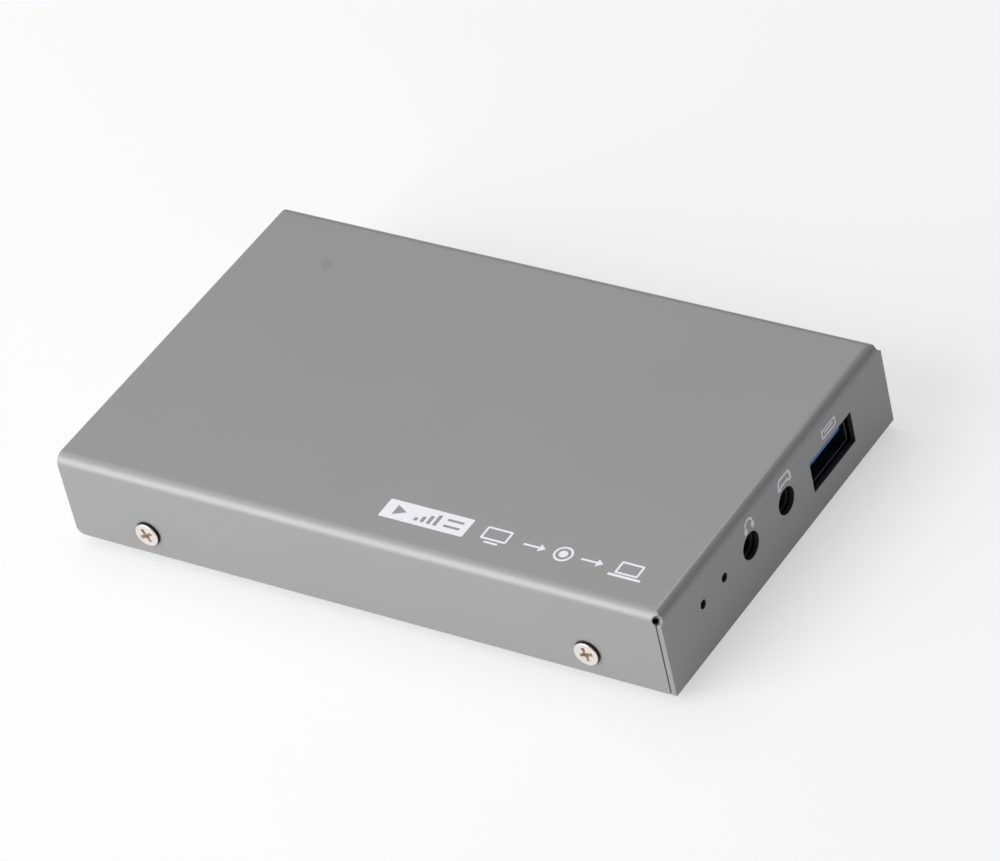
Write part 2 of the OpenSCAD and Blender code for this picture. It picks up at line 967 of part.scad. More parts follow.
module chip_resistors() {
    socket_tails = hdmi_set_back - case_l / 2 + hdmi_shell_l + tail_out + contact_foot;
    row_x = socket_tails + resistor_gap + resistor_size[0] / 2;
    color("#2b2d30")
        for (i = [0 : resistor_count - 1], side = [-1, 1])
            on_board([row_x, side * (hdmi_pitch / 2) + (i - (resistor_count - 1) / 2) * resistor_pitch])
                block(resistor_size);
}

top_cover();
base_tray();
cover_screws();
rubber_feet();
board_posts();
board_screws();
main_board();
usb_shell();
usb_insulator();
usb_contacts();
hdmi_shell(1);  // hdmi_in_shell
hdmi_insulator(1);  // hdmi_in_insulator
hdmi_contacts(1);  // hdmi_in_contacts
hdmi_shell(-1);  // hdmi_out_shell
hdmi_insulator(-1);  // hdmi_out_insulator
hdmi_contacts(-1);  // hdmi_out_contacts
jack_body(headphone_y);  // headphone_jack
jack_contacts(headphone_y);  // headphone_contacts
jack_body(chat_y);  // chat_jack
jack_contacts(chat_y);  // chat_contacts
led_housings();
led_lens(power_led_y, "#d7f0d9");  // power_led
led_lens(status_led_y, "#dfe9f5");  // status_led
led_leads();
video_processor();
thermal_pad();
heat_sink();
plain_chip(receiver_at, receiver_size);  // hdmi_receiver
plain_chip(transmitter_at, transmitter_size);  // hdmi_transmitter
plain_chip(controller_at, controller_size);  // usb_controller
memory_chips();
flash_chip();
plain_chip(codec_at, codec_size);  // audio_codec
crystals();
power_inductors();
capacitor_cans();
capacitor_bases();
regulators();
ceramic_capacitors();
chip_resistors();
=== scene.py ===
"""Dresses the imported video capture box: a folded sheet case in satin paint, its screws and feet, the
USB, HDMI and audio sockets, the lamps, the circuit board, the print, and a pale studio around it."""

from __future__ import annotations

import json
import logging
import math
from dataclasses import dataclass, field
from enum import Enum
from typing import Any, Iterable, Mapping, Sequence, Union

import bmesh
import bpy
from bpy.types import Material, NodeSocket, Object
from mathutils import Matrix, Quaternion, Vector


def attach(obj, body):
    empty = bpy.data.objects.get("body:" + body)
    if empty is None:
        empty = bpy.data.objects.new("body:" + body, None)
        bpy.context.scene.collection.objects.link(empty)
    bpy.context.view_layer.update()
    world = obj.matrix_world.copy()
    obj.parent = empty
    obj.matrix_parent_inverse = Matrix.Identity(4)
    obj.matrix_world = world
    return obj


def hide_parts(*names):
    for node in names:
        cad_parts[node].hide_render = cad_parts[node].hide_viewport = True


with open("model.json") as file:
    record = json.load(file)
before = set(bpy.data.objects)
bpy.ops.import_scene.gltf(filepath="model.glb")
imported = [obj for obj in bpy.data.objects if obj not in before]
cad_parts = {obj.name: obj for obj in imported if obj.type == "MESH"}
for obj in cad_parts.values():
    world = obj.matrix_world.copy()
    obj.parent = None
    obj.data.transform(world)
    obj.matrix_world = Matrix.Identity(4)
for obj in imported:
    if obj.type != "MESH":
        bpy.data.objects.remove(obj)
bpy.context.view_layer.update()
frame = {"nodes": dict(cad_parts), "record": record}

LOG = logging.getLogger("capture_box")
MM = 0.001
BODY = "root"
WHITE = (1.0, 1.0, 1.0, 1.0)

Colour = tuple[float, float, float]
Spot = tuple[float, float, float]
Point = tuple[float, float]
Loop = list[Point]
Operand = Union["Value", float, int]


class Slot(Enum):
    """The record's material slots."""

    CASE_PAINT = "case_paint"
    SCREW_NICKEL = "screw_nickel"
    FOOT_RUBBER = "foot_rubber"
    POST_BRASS = "post_brass"
    BRIGHT_STEEL = "bright_steel"
    BOARD_LAMINATE = "board_laminate"
    USB_BLUE = "usb_blue"
    CONTACT_GOLD = "contact_gold"
    BLACK_PLASTIC = "black_plastic"
    LAMP_LENS = "lamp_lens"
    CHIP_EPOXY = "chip_epoxy"
    PAD_SILICONE = "pad_silicone"
    SINK_ALUMINIUM = "sink_aluminium"
    FERRITE = "ferrite"
    CERAMIC_BODY = "ceramic_body"


class Face(Enum):
    """The faces of the case that carry print."""

    TOP = "top"
    RIGHT_END = "right_end"


# Node trees


class Value:
    """A number in a node tree. Arithmetic on it adds Math nodes."""

    def __init__(self, web: Web, socket: NodeSocket) -> None:
        """Wraps one output socket of a tree."""
        self.web = web
        self.socket = socket

    def _math(self, operation: str, *operands: Operand) -> Value:
        """Adds one Math node.

        Args:
            operation: Blender's name of the operation.
            operands: The values that it takes, in order.

        Returns:
            The result as a value.
        """
        node = self.web.add("ShaderNodeMath", {"operation": operation}, dict(enumerate(operands)))
        return Value(self.web, node.outputs[0])

    def __add__(self, other: Operand) -> Value:
        """Sum."""
        return self._math("ADD", self, other)

    __radd__ = __add__

    def __sub__(self, other: Operand) -> Value:
        """Difference."""
        return self._math("SUBTRACT", self, other)

    def __rsub__(self, other: Operand) -> Value:
        """Difference from a number."""
        return self._math("SUBTRACT", other, self)

    def __mul__(self, other: Operand) -> Value:
        """Product."""
        return self._math("MULTIPLY", self, other)

    __rmul__ = __mul__

    def __truediv__(self, other: Operand) -> Value:
        """Quotient."""
        return self._math("DIVIDE", self, other)

    def __mod__(self, other: Operand) -> Value:
        """Remainder."""
        return self._math("MODULO", self, other)

    def __abs__(self) -> Value:
        """Size without its sign."""
        return self._math("ABSOLUTE", self)

    def __pow__(self, other: Operand) -> Value:
        """Power."""
        return self._math("POWER", self, other)

    def either(self, other: Operand) -> Value:
        """The greater of two values."""
        return self._math("MAXIMUM", self, other)

    def above(self, limit: Operand) -> Value:
        """1 where the value is over the limit, 0 elsewhere."""
        return self._math("GREATER_THAN", self, limit)

    def ramp(self, low: float, high: float) -> Value:
        """A smooth rise from 0 at low to 1 at high.

        Args:
            low: Where the rise starts.
            high: Where it ends, which may lie below low for a fall.

        Returns:
            The risen value.
        """
        node = self.web.add("ShaderNodeMapRange", {"interpolation_type": "SMOOTHSTEP"},
                            {"Value": self, "From Min": low, "From Max": high})
        return Value(self.web, node.outputs[0])


class Web:
    """A node tree under construction, for shaders and for geometry."""

    def __init__(self, tree: bpy.types.NodeTree) -> None:
        """Takes over an existing tree."""
        self.tree = tree

    def add(self, kind: str, settings: Mapping[str, Any] | None = None,
            sockets: Mapping[str | int, Any] | None = None) -> bpy.types.Node:
        """Adds a node.

        Args:
            kind: The node's type.
            settings: Its properties, set first; "stops" gives a ramp's places and colours.
            sockets: Values or links of its inputs, by identifier, name or number.

        Returns:
            The new node.
        """
        node = self.tree.nodes.new(kind)
        for key, setting in (settings or {}).items():
            if key == "stops":
                self._set_stops(node.color_ramp, setting)
            else:
                setattr(node, key, setting)
        for key, value in (sockets or {}).items():
            self.feed(self._input(node, key), value)
        return node

    @staticmethod
    def _set_stops(ramp: bpy.types.ColorRamp, stops: Sequence[tuple[float, Colour]]) -> None:
        """Gives a colour ramp its stops.

        Args:
            ramp: The ramp.
            stops: The place and colour of each stop.
        """
        while len(ramp.elements) < len(stops):
            ramp.elements.new(1.0)
        for element, (place, colour) in zip(ramp.elements, stops):
            element.position = place
            element.color = (*colour, 1.0)

    @staticmethod
    def _input(node: bpy.types.Node, key: str | int) -> NodeSocket:
        """Finds an input by number, identifier or name.

        Args:
            node: The node.
            key: What to look for.

        Returns:
            The input.
        """
        if isinstance(key, int):
            return node.inputs[key]
        return next((s for s in node.inputs if s.identifier == key), None) or node.inputs[key]

    def feed(self, socket: NodeSocket, value: Any) -> None:
        """Links a value or a socket to an input, or sets the input's number or colour.

        Args:
            socket: The input.
            value: A value, one or more sockets, or a plain setting.
        """
        if isinstance(value, (list, tuple)) and value and isinstance(value[0], NodeSocket):
            for one in value:
                self.tree.links.new(one, socket)
        elif isinstance(value, Value):
            self.tree.links.new(value.socket, socket)
        elif isinstance(value, NodeSocket):
            self.tree.links.new(value, socket)
        else:
            socket.default_value = value

    def axes(self, vector: NodeSocket) -> tuple[Value, Value, Value]:
        """The three parts of a vector."""
        node = self.add("ShaderNodeSeparateXYZ", None, {0: vector})
        return Value(self, node.outputs[0]), Value(self, node.outputs[1]), Value(self, node.outputs[2])

    def vector(self, x: Operand, y: Operand, z: Operand) -> NodeSocket:
        """A vector from three parts."""
        return self.add("ShaderNodeCombineXYZ", None, {0: x, 1: y, 2: z}).outputs[0]

    @staticmethod
    def reach(across: Value, along: Value) -> Value:
        """The distance that two steps at right angles make up."""
        return (across * across + along * along) ** 0.5


class ShaderWeb(Web):
    """The node tree of one material."""

    def __init__(self, name: str) -> None:
        """Makes an empty material of that name.

        Args:
            name: The material's name.
        """
        self.material = bpy.data.materials.new(name)
        self.material.use_nodes = True
        super().__init__(self.material.node_tree)
        self.tree.nodes.clear()
        self.coords = self.add("ShaderNodeTexCoord").outputs["Object"]

    def stretched(self, x: float, y: float, z: float) -> NodeSocket:
        """Object coordinates scaled along each axis."""
        return self.add("ShaderNodeMapping", None, {"Vector": self.coords, "Scale": (x, y, z)}).outputs[0]

    def noise(self, size: float, detail: float = 2.0, where: NodeSocket | None = None) -> Value:
        """Smooth noise from 0 to 1.

        Args:
            size: The size of its grains, in metres.
            detail: How many finer layers it has.
            where: Coordinates other than the object's own.

        Returns:
            The noise.
        """
        node = self.add("ShaderNodeTexNoise", None,
                        {"Vector": where or self.coords, "Scale": 1.0 / size, "Detail": detail})
        return Value(self, node.outputs["Fac"])

    def cells(self, size: float) -> Value:
        """The distance to the nearest of scattered points, in cell sizes."""
        node = self.add("ShaderNodeTexVoronoi", None, {"Vector": self.coords, "Scale": 1.0 / size})
        return Value(self, node.outputs["Distance"])

    def blend(self, mask: Operand, base: Any, other: Any) -> NodeSocket:
        """A colour that goes from base to other as the mask goes from 0 to 1.

        Args:
            mask: The mask.
            base: The first colour, as numbers or a socket.
            other: The second.

        Returns:
            The colour.
        """
        base, other = ((*c, 1.0) if isinstance(c, tuple) else c for c in (base, other))
        node = self.add("ShaderNodeMix", {"data_type": "RGBA"},
                        {"Factor_Float": mask, "A_Color": base, "B_Color": other})
        return next(s for s in node.outputs if s.identifier == "Result_Color")

    def bump(self, height: Value, strength: float, depth: float) -> NodeSocket:
        """A normal from a height field, where the height of 1 stands depth metres proud."""
        sockets = {"Height": height, "Strength": strength, "Distance": depth}
        return self.add("ShaderNodeBump", None, sockets).outputs[0]

    def surface(self, **sockets: Any) -> Material:
        """Ends the tree in one principled surface.

        Args:
            sockets: The shader's inputs, with underscores for the spaces in their names.

        Returns:
            The finished material.
        """
        named = {key.replace("_", " "): value for key, value in sockets.items()}
        named = {key: (*v, 1.0) if isinstance(v, tuple) else v for key, v in named.items()}
        shader = self.add("ShaderNodeBsdfPrincipled", None, named)
        self.add("ShaderNodeOutputMaterial", None, {"Surface": shader.outputs[0]})
        return self.material


# Finishes


def shade(colour: Colour, factor: float) -> Colour:
    """A colour made lighter or darker."""
    return tuple(min(1.0, c * factor) for c in colour)


@dataclass(frozen=True)
class SatinPaint:
    """Satin stoved paint with a metallic pigment, on folded sheet."""

    name: str
    colour: Colour
    metallic: float
    roughness: float
    peel: float = 0.5 * MM
    pigment: float = 0.09 * MM
    cloud: float = 26 * MM
    scuff_at: Point = (-43.5 * MM, 23.7 * MM)
    scuff_size: Point = (1.9 * MM, 1.1 * MM)
    scuff_turn: float = math.radians(121)
    end_x: float = 60 * MM
    side_y: float = 36.25 * MM
    top_low: float = 17 * MM
    sheet: float = 1 * MM
    screw_at: Point = (43.9 * MM, 6 * MM)
    groove_r: float = 2.44 * MM
    groove_fade: float = 0.06 * MM
    cut_skin: Point = (0.02 * MM, 0.1 * MM)
    cut_y: float = 33 * MM
    cut_z: Point = (3.6 * MM, 16.4 * MM)
    relief: float = 0.02 * MM
    # colour of the painted shade on the openings' walls and in the grooves round the screw heads
    painted_shade_colour: Colour = (0.03, 0.034, 0.033)

    def opening_shade(self, x: Value, y: Value, z: Value) -> Value:
        """1 on the walls of the openings that are cut through the two ends, where painted shade goes, 0
        elsewhere.

        Args:
            x: The place's X.
            y: Its Y.
            z: Its Z.

        Returns:
            The mask.
        """
        in_wall = abs(x).ramp(self.end_x - self.sheet, self.end_x - 0.95 * self.sheet)
        in_wall = in_wall * abs(x).ramp(self.end_x - self.cut_skin[0], self.end_x - self.cut_skin[1])
        low, high = self.cut_z
        return in_wall * (1.0 - abs(y).above(self.cut_y)) * z.above(low) * (1.0 - z.above(high))

    def groove_shade(self, x: Value, y: Value, z: Value) -> Value:
        """1 in the groove around each cover screw's head, where a painted shadow goes, 0 elsewhere.

        Args:
            x: The place's X.
            y: Its Y.
            z: Its Z.

        Returns:
            The mask.
        """
        reach = Web.reach(abs(x) - self.screw_at[0], z - self.screw_at[1])
        on_side = abs(y).above(self.side_y - 1.5 * self.sheet)
        return reach.ramp(self.groove_r, self.groove_r - self.groove_fade) * on_side

    def scuff(self, x: Value, y: Value, z: Value) -> Value:
        """A faint oval scuff on the top, from 0 around it to 1 in its middle.

        Args:
            x: The place's X.
            y: Its Y.
            z: Its Z.

        Returns:
            The mask.
        """
        dx, dy = x - self.scuff_at[0], y - self.scuff_at[1]
        cos, sin = math.cos(self.scuff_turn), math.sin(self.scuff_turn)
        long, wide = self.scuff_size
        reach = Web.reach((dx * cos + dy * sin) / long, (dy * cos - dx * sin) / wide)
        return reach.ramp(1.25, 0.55) * z.above(self.top_low)

    def material(self) -> Material:
        """Draws the paint: clouded colour, pigment flecks, a soft peel and one faint scuff on the top.

        The walls of the cut openings and the grooves around the screws get a painted shade, dark and without
        the paint's metal.

        Returns:
            The finished material.
        """
        web = ShaderWeb(self.name)
        peel = web.noise(self.peel, 1.0)
        pigment = web.noise(self.pigment, 0.0)
        cloud = web.noise(self.cloud, 2.0)
        x, y, z = web.axes(web.coords)
        scuff = self.scuff(x, y, z)
        tone = web.blend(cloud * 0.6 + pigment * 0.4, shade(self.colour, 0.95), shade(self.colour, 1.05))
        tone = web.blend(scuff * (0.1 + peel * 0.2), tone, shade(self.colour, 0.55))
        # painted shade: the openings' walls and the grooves round the screw heads go dark
        cut = self.opening_shade(x, y, z).either(self.groove_shade(x, y, z))
        tone = web.blend(cut, tone, self.painted_shade_colour)
        rough = self.roughness + (peel - 0.5) * 0.06 + (pigment - 0.5) * 0.05
        return web.surface(
            Base_Color=tone, Metallic=self.metallic * (1.0 - cut), Roughness=rough + scuff * 0.08 + cut * 0.2,
            Normal=web.bump(peel * 0.7 + pigment * 0.3, 0.12, self.relief))


@dataclass(frozen=True)
class PlatedMetal:
    """Plated or bare metal with drawn streaks and a little tarnish."""

    name: str
    colour: Colour
    tarnish: Colour
    roughness: float
    streak: float = 0.06 * MM
    blotch: float = 1.4 * MM
    relief: float = 0.01 * MM

    def wear_and_shade(self, web: ShaderWeb, tone: NodeSocket, rough: Value, blotch: Value) -> tuple[NodeSocket, Value]:
        """Adds what use leaves on the metal and any painted shade, which is nothing on plain stock.

        Args:
            web: The material's tree.
            tone: The colour so far.
            rough: The roughness so far.
            blotch: Noise that breaks up the wear.

        Returns:
            The new colour and roughness.
        """
        return tone, rough

    def material(self) -> Material:
        """Draws the metal: streaks, blotches of tarnish, and its wear and painted shade.

        Returns:
            The finished material.
        """
        web = ShaderWeb(self.name)
        streak = web.noise(self.streak, 2.0, web.stretched(0.12, 1.0, 1.0))
        blotch = web.noise(self.blotch, 3.0)
        tone = web.blend(blotch.ramp(0.35, 0.8) * 0.5, self.colour, self.tarnish)
        rough = self.roughness + (streak - 0.5) * 0.16 + (blotch - 0.5) * 0.08
        tone, rough = self.wear_and_shade(web, tone, rough, blotch)
        return web.surface(Base_Color=tone, Metallic=1.0, Roughness=rough,
                           Normal=web.bump(streak, 0.08, self.relief))


@dataclass(frozen=True)
class ScrewPlate(PlatedMetal):
    """Plating on the cover screws, brown in the recess, with a painted shade on the side of the head."""

    # brown laid in the screw's recess, stronger deeper in
    recess_brown: Colour = (0.56, 0.44, 0.31)
    # colour of the painted shade on the side wall of the head
    rim_shade_colour: Colour = (0.03, 0.033, 0.031)
    axis: Point = (43.9 * MM, 6 * MM)
    head_r: float = 2.25 * MM
    face_y: float = 36.8 * MM
    bright: float = 0.22 * MM
    recess: Point = (0.06 * MM, 0.4 * MM)

    def wear_and_shade(self, web: ShaderWeb, tone: NodeSocket, rough: Value, blotch: Value) -> tuple[NodeSocket, Value]:
        """Browns the recess and lays a painted shade on the head's side wall.

        Args:
            web: The material's tree.
            tone: The colour so far.
            rough: The roughness so far.
            blotch: Noise that breaks up the brown in the recess.

        Returns:
            The new colour and roughness.
        """
        x, y, z = web.axes(web.coords)
        depth = self.face_y - abs(y)
        reach = web.reach(abs(x) - self.axis[0], z - self.axis[1])
        deep = depth.ramp(*self.recess) * reach.ramp(0.85 * self.head_r, 0.75 * self.head_r)
        # painted shade on the head's side wall, below its bright top
        rim = reach.ramp(0.96 * self.head_r, 0.99 * self.head_r)
        rim = rim * depth.ramp(0.8 * self.bright, 1.2 * self.bright)
        tone = web.blend(deep * (0.5 + blotch * 0.5), tone, self.recess_brown)
        tone = web.blend(rim, tone, self.rim_shade_colour)
        return tone, rough + deep * 0.2 + rim * 0.2


@dataclass(frozen=True)
class Moulding:
    """Moulded plastic, rubber, resin or fired ceramic with a fine tooled skin."""

    name: str
    colour: Colour
    roughness: float
    grain: float = 0.12 * MM
    relief: float = 0.012 * MM
    mottle: float = 0.12
    coat: float = 0.0

    def material(self) -> Material:
        """Draws the moulding: a mottled colour, a grained skin and an even gloss.

        Returns:
            The finished material.
        """
        web = ShaderWeb(self.name)
        grain = web.noise(self.grain, 2.0)
        flow = web.noise(self.grain * 24, 2.0)
        light, dark = shade(self.colour, 1 + self.mottle), shade(self.colour, 1 - self.mottle)
        return web.surface(
            Base_Color=web.blend(flow * 0.7 + grain * 0.3, dark, light), Coat_Weight=self.coat,
            Roughness=self.roughness + (grain - 0.5) * 0.12 + (flow - 0.5) * 0.08,
            Normal=web.bump(grain, 0.25, self.relief))


@dataclass(frozen=True)
class Laminate:
    """Glass laminate under solder mask, with buried tracks and tinned pads."""

    name: str
    mask: Colour
    track: Colour
    pad: Colour
    patch: float = 7 * MM
    pitch: float = 0.8 * MM
    spread: float = 3 * MM
    via: float = 2.6 * MM
    relief: float = 0.03 * MM

    def material(self) -> Material:
        """Draws the board: tracks along X and Y in patches, plated holes and a glossy mask.

        Returns:
            The finished material.
        """
        web = ShaderWeb(self.name)
        x, y, _ = web.axes(web.coords)
        patch = web.noise(self.patch, 0.0).above(0.5)
        line = (x / self.pitch * patch + y / self.pitch * (1.0 - patch)) % 1.0
        tracks = abs(abs(line) - 0.5).ramp(0.22, 0.17) * web.noise(self.spread, 1.0).ramp(0.4, 0.55)
        pads = web.cells(self.via).ramp(0.13, 0.1)
        tone = web.blend(pads, web.blend(tracks, self.mask, self.track), self.pad)
        return web.surface(Base_Color=tone, Metallic=pads * 0.9, Roughness=0.34 - pads * 0.1, Coat_Weight=0.2,
                           Normal=web.bump(tracks * 0.7 + pads * 0.4, 0.3, self.relief))


@dataclass(frozen=True)
class CastResin:
    """Smoked cast resin, as in an unlit lamp's lens."""

    name: str
    colour: Colour
    flow: float = 0.8 * MM

    def material(self) -> Material:
        """Draws the resin: half clear, with a faint flow in its colour and gloss.

        Returns:
            The finished material.
        """
        web = ShaderWeb(self.name)
        flow = web.noise(self.flow, 2.0)
        return web.surface(Base_Color=web.blend(flow * 0.3, self.colour, shade(self.colour, 0.8)),
                           Roughness=0.06 + flow * 0.06, IOR=1.53, Transmission_Weight=0.5)


@dataclass(frozen=True)
class ScreenInk:
    """Screen-printed ink with a slightly open film."""

    name: str
    colour: Colour
    mesh: float = 0.1 * MM
    relief: float = 0.008 * MM

    def material(self) -> Material:
        """Draws the ink: a little mottle and a dry satin skin.

        Returns:
            The finished material.
        """
        web = ShaderWeb(self.name)
        mesh = web.noise(self.mesh, 2.0)
        tone = web.blend(mesh.ramp(0.45, 0.75) * 0.5, self.colour, shade(self.colour, 0.88))
        return web.surface(Base_Color=tone, Roughness=0.5 + mesh * 0.15,
                           Normal=web.bump(mesh, 0.2, self.relief))


Finish = Union[SatinPaint, PlatedMetal, Moulding, Laminate, CastResin]

FINISHES: dict[Slot, Finish] = {
    Slot.CASE_PAINT: SatinPaint("case_paint", (0.302, 0.3, 0.303), 0.27, 0.45),
    Slot.SCREW_NICKEL: ScrewPlate("screw_nickel", (0.88, 0.82, 0.8), (0.76, 0.66, 0.6), 0.28),
    Slot.FOOT_RUBBER: Moulding("foot_rubber", (0.018, 0.018, 0.019), 0.78, 0.2 * MM, 0.02 * MM),
    Slot.POST_BRASS: PlatedMetal("post_brass", (0.72, 0.55, 0.24), (0.5, 0.34, 0.14), 0.3),
    Slot.BRIGHT_STEEL: PlatedMetal("bright_steel", (0.55, 0.56, 0.56), (0.36, 0.37, 0.36), 0.34),
    Slot.BOARD_LAMINATE: Laminate("board_laminate", (0.012, 0.085, 0.032), (0.03, 0.15, 0.06),
                                  (0.72, 0.7, 0.62)),
    Slot.USB_BLUE: Moulding("usb_blue", (0.02, 0.2, 0.52), 0.36, mottle=0.06),
    Slot.CONTACT_GOLD: PlatedMetal("contact_gold", (0.83, 0.6, 0.22), (0.66, 0.42, 0.14), 0.24),
    Slot.BLACK_PLASTIC: Moulding("black_plastic", (0.009, 0.011, 0.011), 0.6),
    Slot.LAMP_LENS: CastResin("lamp_lens", (0.05, 0.055, 0.055)),
    Slot.CHIP_EPOXY: Moulding("chip_epoxy", (0.02, 0.021, 0.022), 0.6),
    Slot.PAD_SILICONE: Moulding("pad_silicone", (0.3, 0.34, 0.4), 0.75, 0.3 * MM, 0.03 * MM),
    Slot.SINK_ALUMINIUM: PlatedMetal("sink_aluminium", (0.62, 0.63, 0.64), (0.5, 0.51, 0.52), 0.38),
    Slot.FERRITE: Moulding("ferrite", (0.07, 0.072, 0.076), 0.7, 0.16 * MM, 0.03 * MM),
    Slot.CERAMIC_BODY: Moulding("ceramic_body", (0.42, 0.32, 0.2), 0.5),
}


class Palette:
    """The materials, each made once."""

    def __init__(self) -> None:
        """Draws every finish."""
        self._made = {slot: finish.material() for slot, finish in FINISHES.items()}
        # painted shade: the socket shells take a dark nickel in place of their bright steel
        self.shaded_shell = PlatedMetal("shell_nickel_painted_shade", (0.1, 0.106, 0.102), (0.05, 0.055, 0.052), 0.5).material()
        self.ink = ScreenInk("print_ink", (0.86, 0.86, 0.9)).material()

    def __getitem__(self, slot: Slot) -> Material:
        """The material of a slot."""
        return self._made[slot]


# Meshes


SLOT_OF: dict[str, Slot] = {s["node"]: Slot(s["material_slot"]) for s in frame["record"]["subparts"]}
MERGE = 0.002 * MM
FLAT = math.radians(0.3)
CREASE = math.radians(28)
SHARP = math.radians(50)


def linked(name: str, mesh: bpy.types.Mesh) -> Object:
    """Puts a mesh into the scene under a name.

    Args:
        name: The piece's name.
        mesh: Its mesh.

    Returns:
        The piece.
    """
    mesh.name = name
    piece = bpy.data.objects.new(name, mesh)
    bpy.context.scene.collection.objects.link(piece)
    return piece


def painted(piece: Object, material: Material) -> None:
    """Gives a piece one material in place of all others."""
    piece.data.materials.clear()
    piece.data.materials.append(material)


def closed(name: str, work: bmesh.types.BMesh) -> Object:
    """Puts a finished solid into the scene, with its faces outward.

    Args:
        name: The piece's name.
        work: The solid, which is used up.

    Returns:
        The piece.
    """
    bmesh.ops.recalc_face_normals(work, faces=work.faces)
    mesh = bpy.data.meshes.new(name)
    work.to_mesh(mesh)
    work.free()
    return linked(name, mesh)


def settled(piece: Object) -> Object:
    """Turns a piece and its modifiers into a plain mesh at the origin.

    Args:
        piece: The piece, a mesh or a curve.

    Returns:
        The plain piece, as a new object.
    """
    bpy.context.view_layer.update()
    shown = piece.evaluated_get(bpy.context.evaluated_depsgraph_get())
    mesh = bpy.data.meshes.new_from_object(shown)
    mesh.transform(piece.matrix_world)
    piece.modifiers.clear()
    name, old = piece.name, piece.data
    bpy.data.objects.remove(piece)
    if isinstance(old, bpy.types.Curve):
        bpy.data.curves.remove(old)
    else:
        bpy.data.meshes.remove(old)
    return linked(name, mesh)


def weighted(piece: Object) -> Object:
    """Shades a piece smooth, with flat faces kept flat.

    Args:
        piece: The piece.

    Returns:
        The piece as a new object.
    """
    for face in piece.data.polygons:
        face.use_smooth = True
    piece.data.set_sharp_from_angle(angle=SHARP)
    modifier = piece.modifiers.new("even_shading", "WEIGHTED_NORMAL")
    modifier.keep_sharp = True
    return settled(piece)


def copied(node: str) -> Object:
    """A bare copy of a CAD node.

    Args:
        node: The CAD node.

    Returns:
        The copy.
    """
    mesh = frame["nodes"][node].data.copy()
    mesh.materials.clear()
    return linked(f"{node}_piece", mesh)


def softened(piece: Object, edge: float) -> Object:
    """Rounds a piece's sharp edges finely.

    Args:
        piece: The piece.
        edge: The width of the rounding, in metres.

    Returns:
        The piece as a new object.
    """
    work = bmesh.new()
    work.from_mesh(piece.data)
    bmesh.ops.remove_doubles(work, verts=work.verts, dist=MERGE)
    bmesh.ops.dissolve_limit(work, angle_limit=FLAT, verts=work.verts, edges=work.edges,
                             use_dissolve_boundaries=False)
    sharp = [e for e in work.edges if len(e.link_faces) == 2 and e.calc_face_angle() > CREASE]
    bmesh.ops.bevel(work, geom=sharp, offset=edge, offset_type="OFFSET", segments=2, profile=0.5,
                    affect="EDGES", clamp_overlap=False)
    work.to_mesh(piece.data)
    work.free()
    return weighted(piece)


def prism(name: str, loop: Sequence[Point], along_y: bool, start: float, end: float) -> Object:
    """A solid with one outline all along X or Y.

    Args:
        name: The piece's name.
        loop: The outline, as Y and Z or as X and Z.
        along_y: Whether it runs along Y.
        start: Where it starts.
        end: Where it ends.

    Returns:
        The piece.
    """
    work = bmesh.new()
    caps = [[work.verts.new((u, at, v) if along_y else (at, u, v)) for u, v in loop] for at in (start, end)]
    for cap in caps:
        work.faces.new(cap)
    for i in range(len(loop)):
        j = (i + 1) % len(loop)
        work.faces.new((caps[0][i], caps[0][j], caps[1][j], caps[1][i]))
    return closed(name, work)


def placed(piece: Object, place: Matrix) -> Object:
    """Moves a piece's mesh, with its faces kept outward.

    Args:
        piece: The piece.
        place: The move, which may mirror it.

    Returns:
        The piece.
    """
    piece.data.transform(place)
    if place.determinant() < 0:
        piece.data.flip_normals()
    return piece


def combined(piece: Object, operation: str, *others: Object) -> Object:
    """Cuts or crosses a piece with others, which are used up.

    Args:
        piece: The piece.
        operation: Blender's name of the operation.
        others: The solids to cut or cross it with.

    Returns:
        The piece as a new object.
    """
    for other in others:
        modifier = piece.modifiers.new(other.name, "BOOLEAN")
        modifier.operation, modifier.solver, modifier.object = operation, "EXACT", other
    made = settled(piece)
    for other in others:
        mesh = other.data
        bpy.data.objects.remove(other)
        bpy.data.meshes.remove(mesh)
    return made


def turned(name: str, profile: Sequence[Point], sides: int = 48) -> Object:
    """A solid turned about Z.

    Args:
        name: The piece's name.
        profile: Radius and height along its outline, from one end of the axis to the other.
        sides: The steps round the axis.

    Returns:
        The piece.
    """
    work = bmesh.new()
    rings: list[list[bmesh.types.BMVert]] = []
    for radius, height in profile:
        if radius == 0:
            rings.append([work.verts.new((0, 0, height))] * sides)
            continue
        angles = (2 * math.pi * i / sides for i in range(sides))
        rings.append([work.verts.new((radius * math.cos(a), radius * math.sin(a), height)) for a in angles])
    for low, high in zip(rings, rings[1:]):
        for i in range(sides):
            j = (i + 1) % sides
            corners = list(dict.fromkeys((low[i], low[j], high[j], high[i])))
            work.faces.new(corners)
    return closed(name, work)


def rounded(profile: Sequence[Point], corner: int, radius: float, steps: int = 5) -> list[Point]:
    """An outline with one corner replaced by an arc.

    Args:
        profile: The outline's points.
        corner: The number of the corner.
        radius: The arc's radius.
        steps: The steps along the arc.

    Returns:
        The new outline.
    """
    before, at, after = (Vector(profile[corner + k]) for k in (-1, 0, 1))
    one, two = (before - at).normalized(), (after - at).normalized()
    half = one.angle(two) / 2
    start, end = at + one * radius / math.tan(half), at + two * radius / math.tan(half)
    centre = at + (one + two).normalized() * radius / math.sin(half)
    arc = []
    for i in range(steps + 1):
        spoke = (start - centre).lerp(end - centre, i / steps).normalized() * radius
        arc.append(tuple(centre + spoke))
    return [*profile[:corner], *arc, *profile[corner + 1:]]


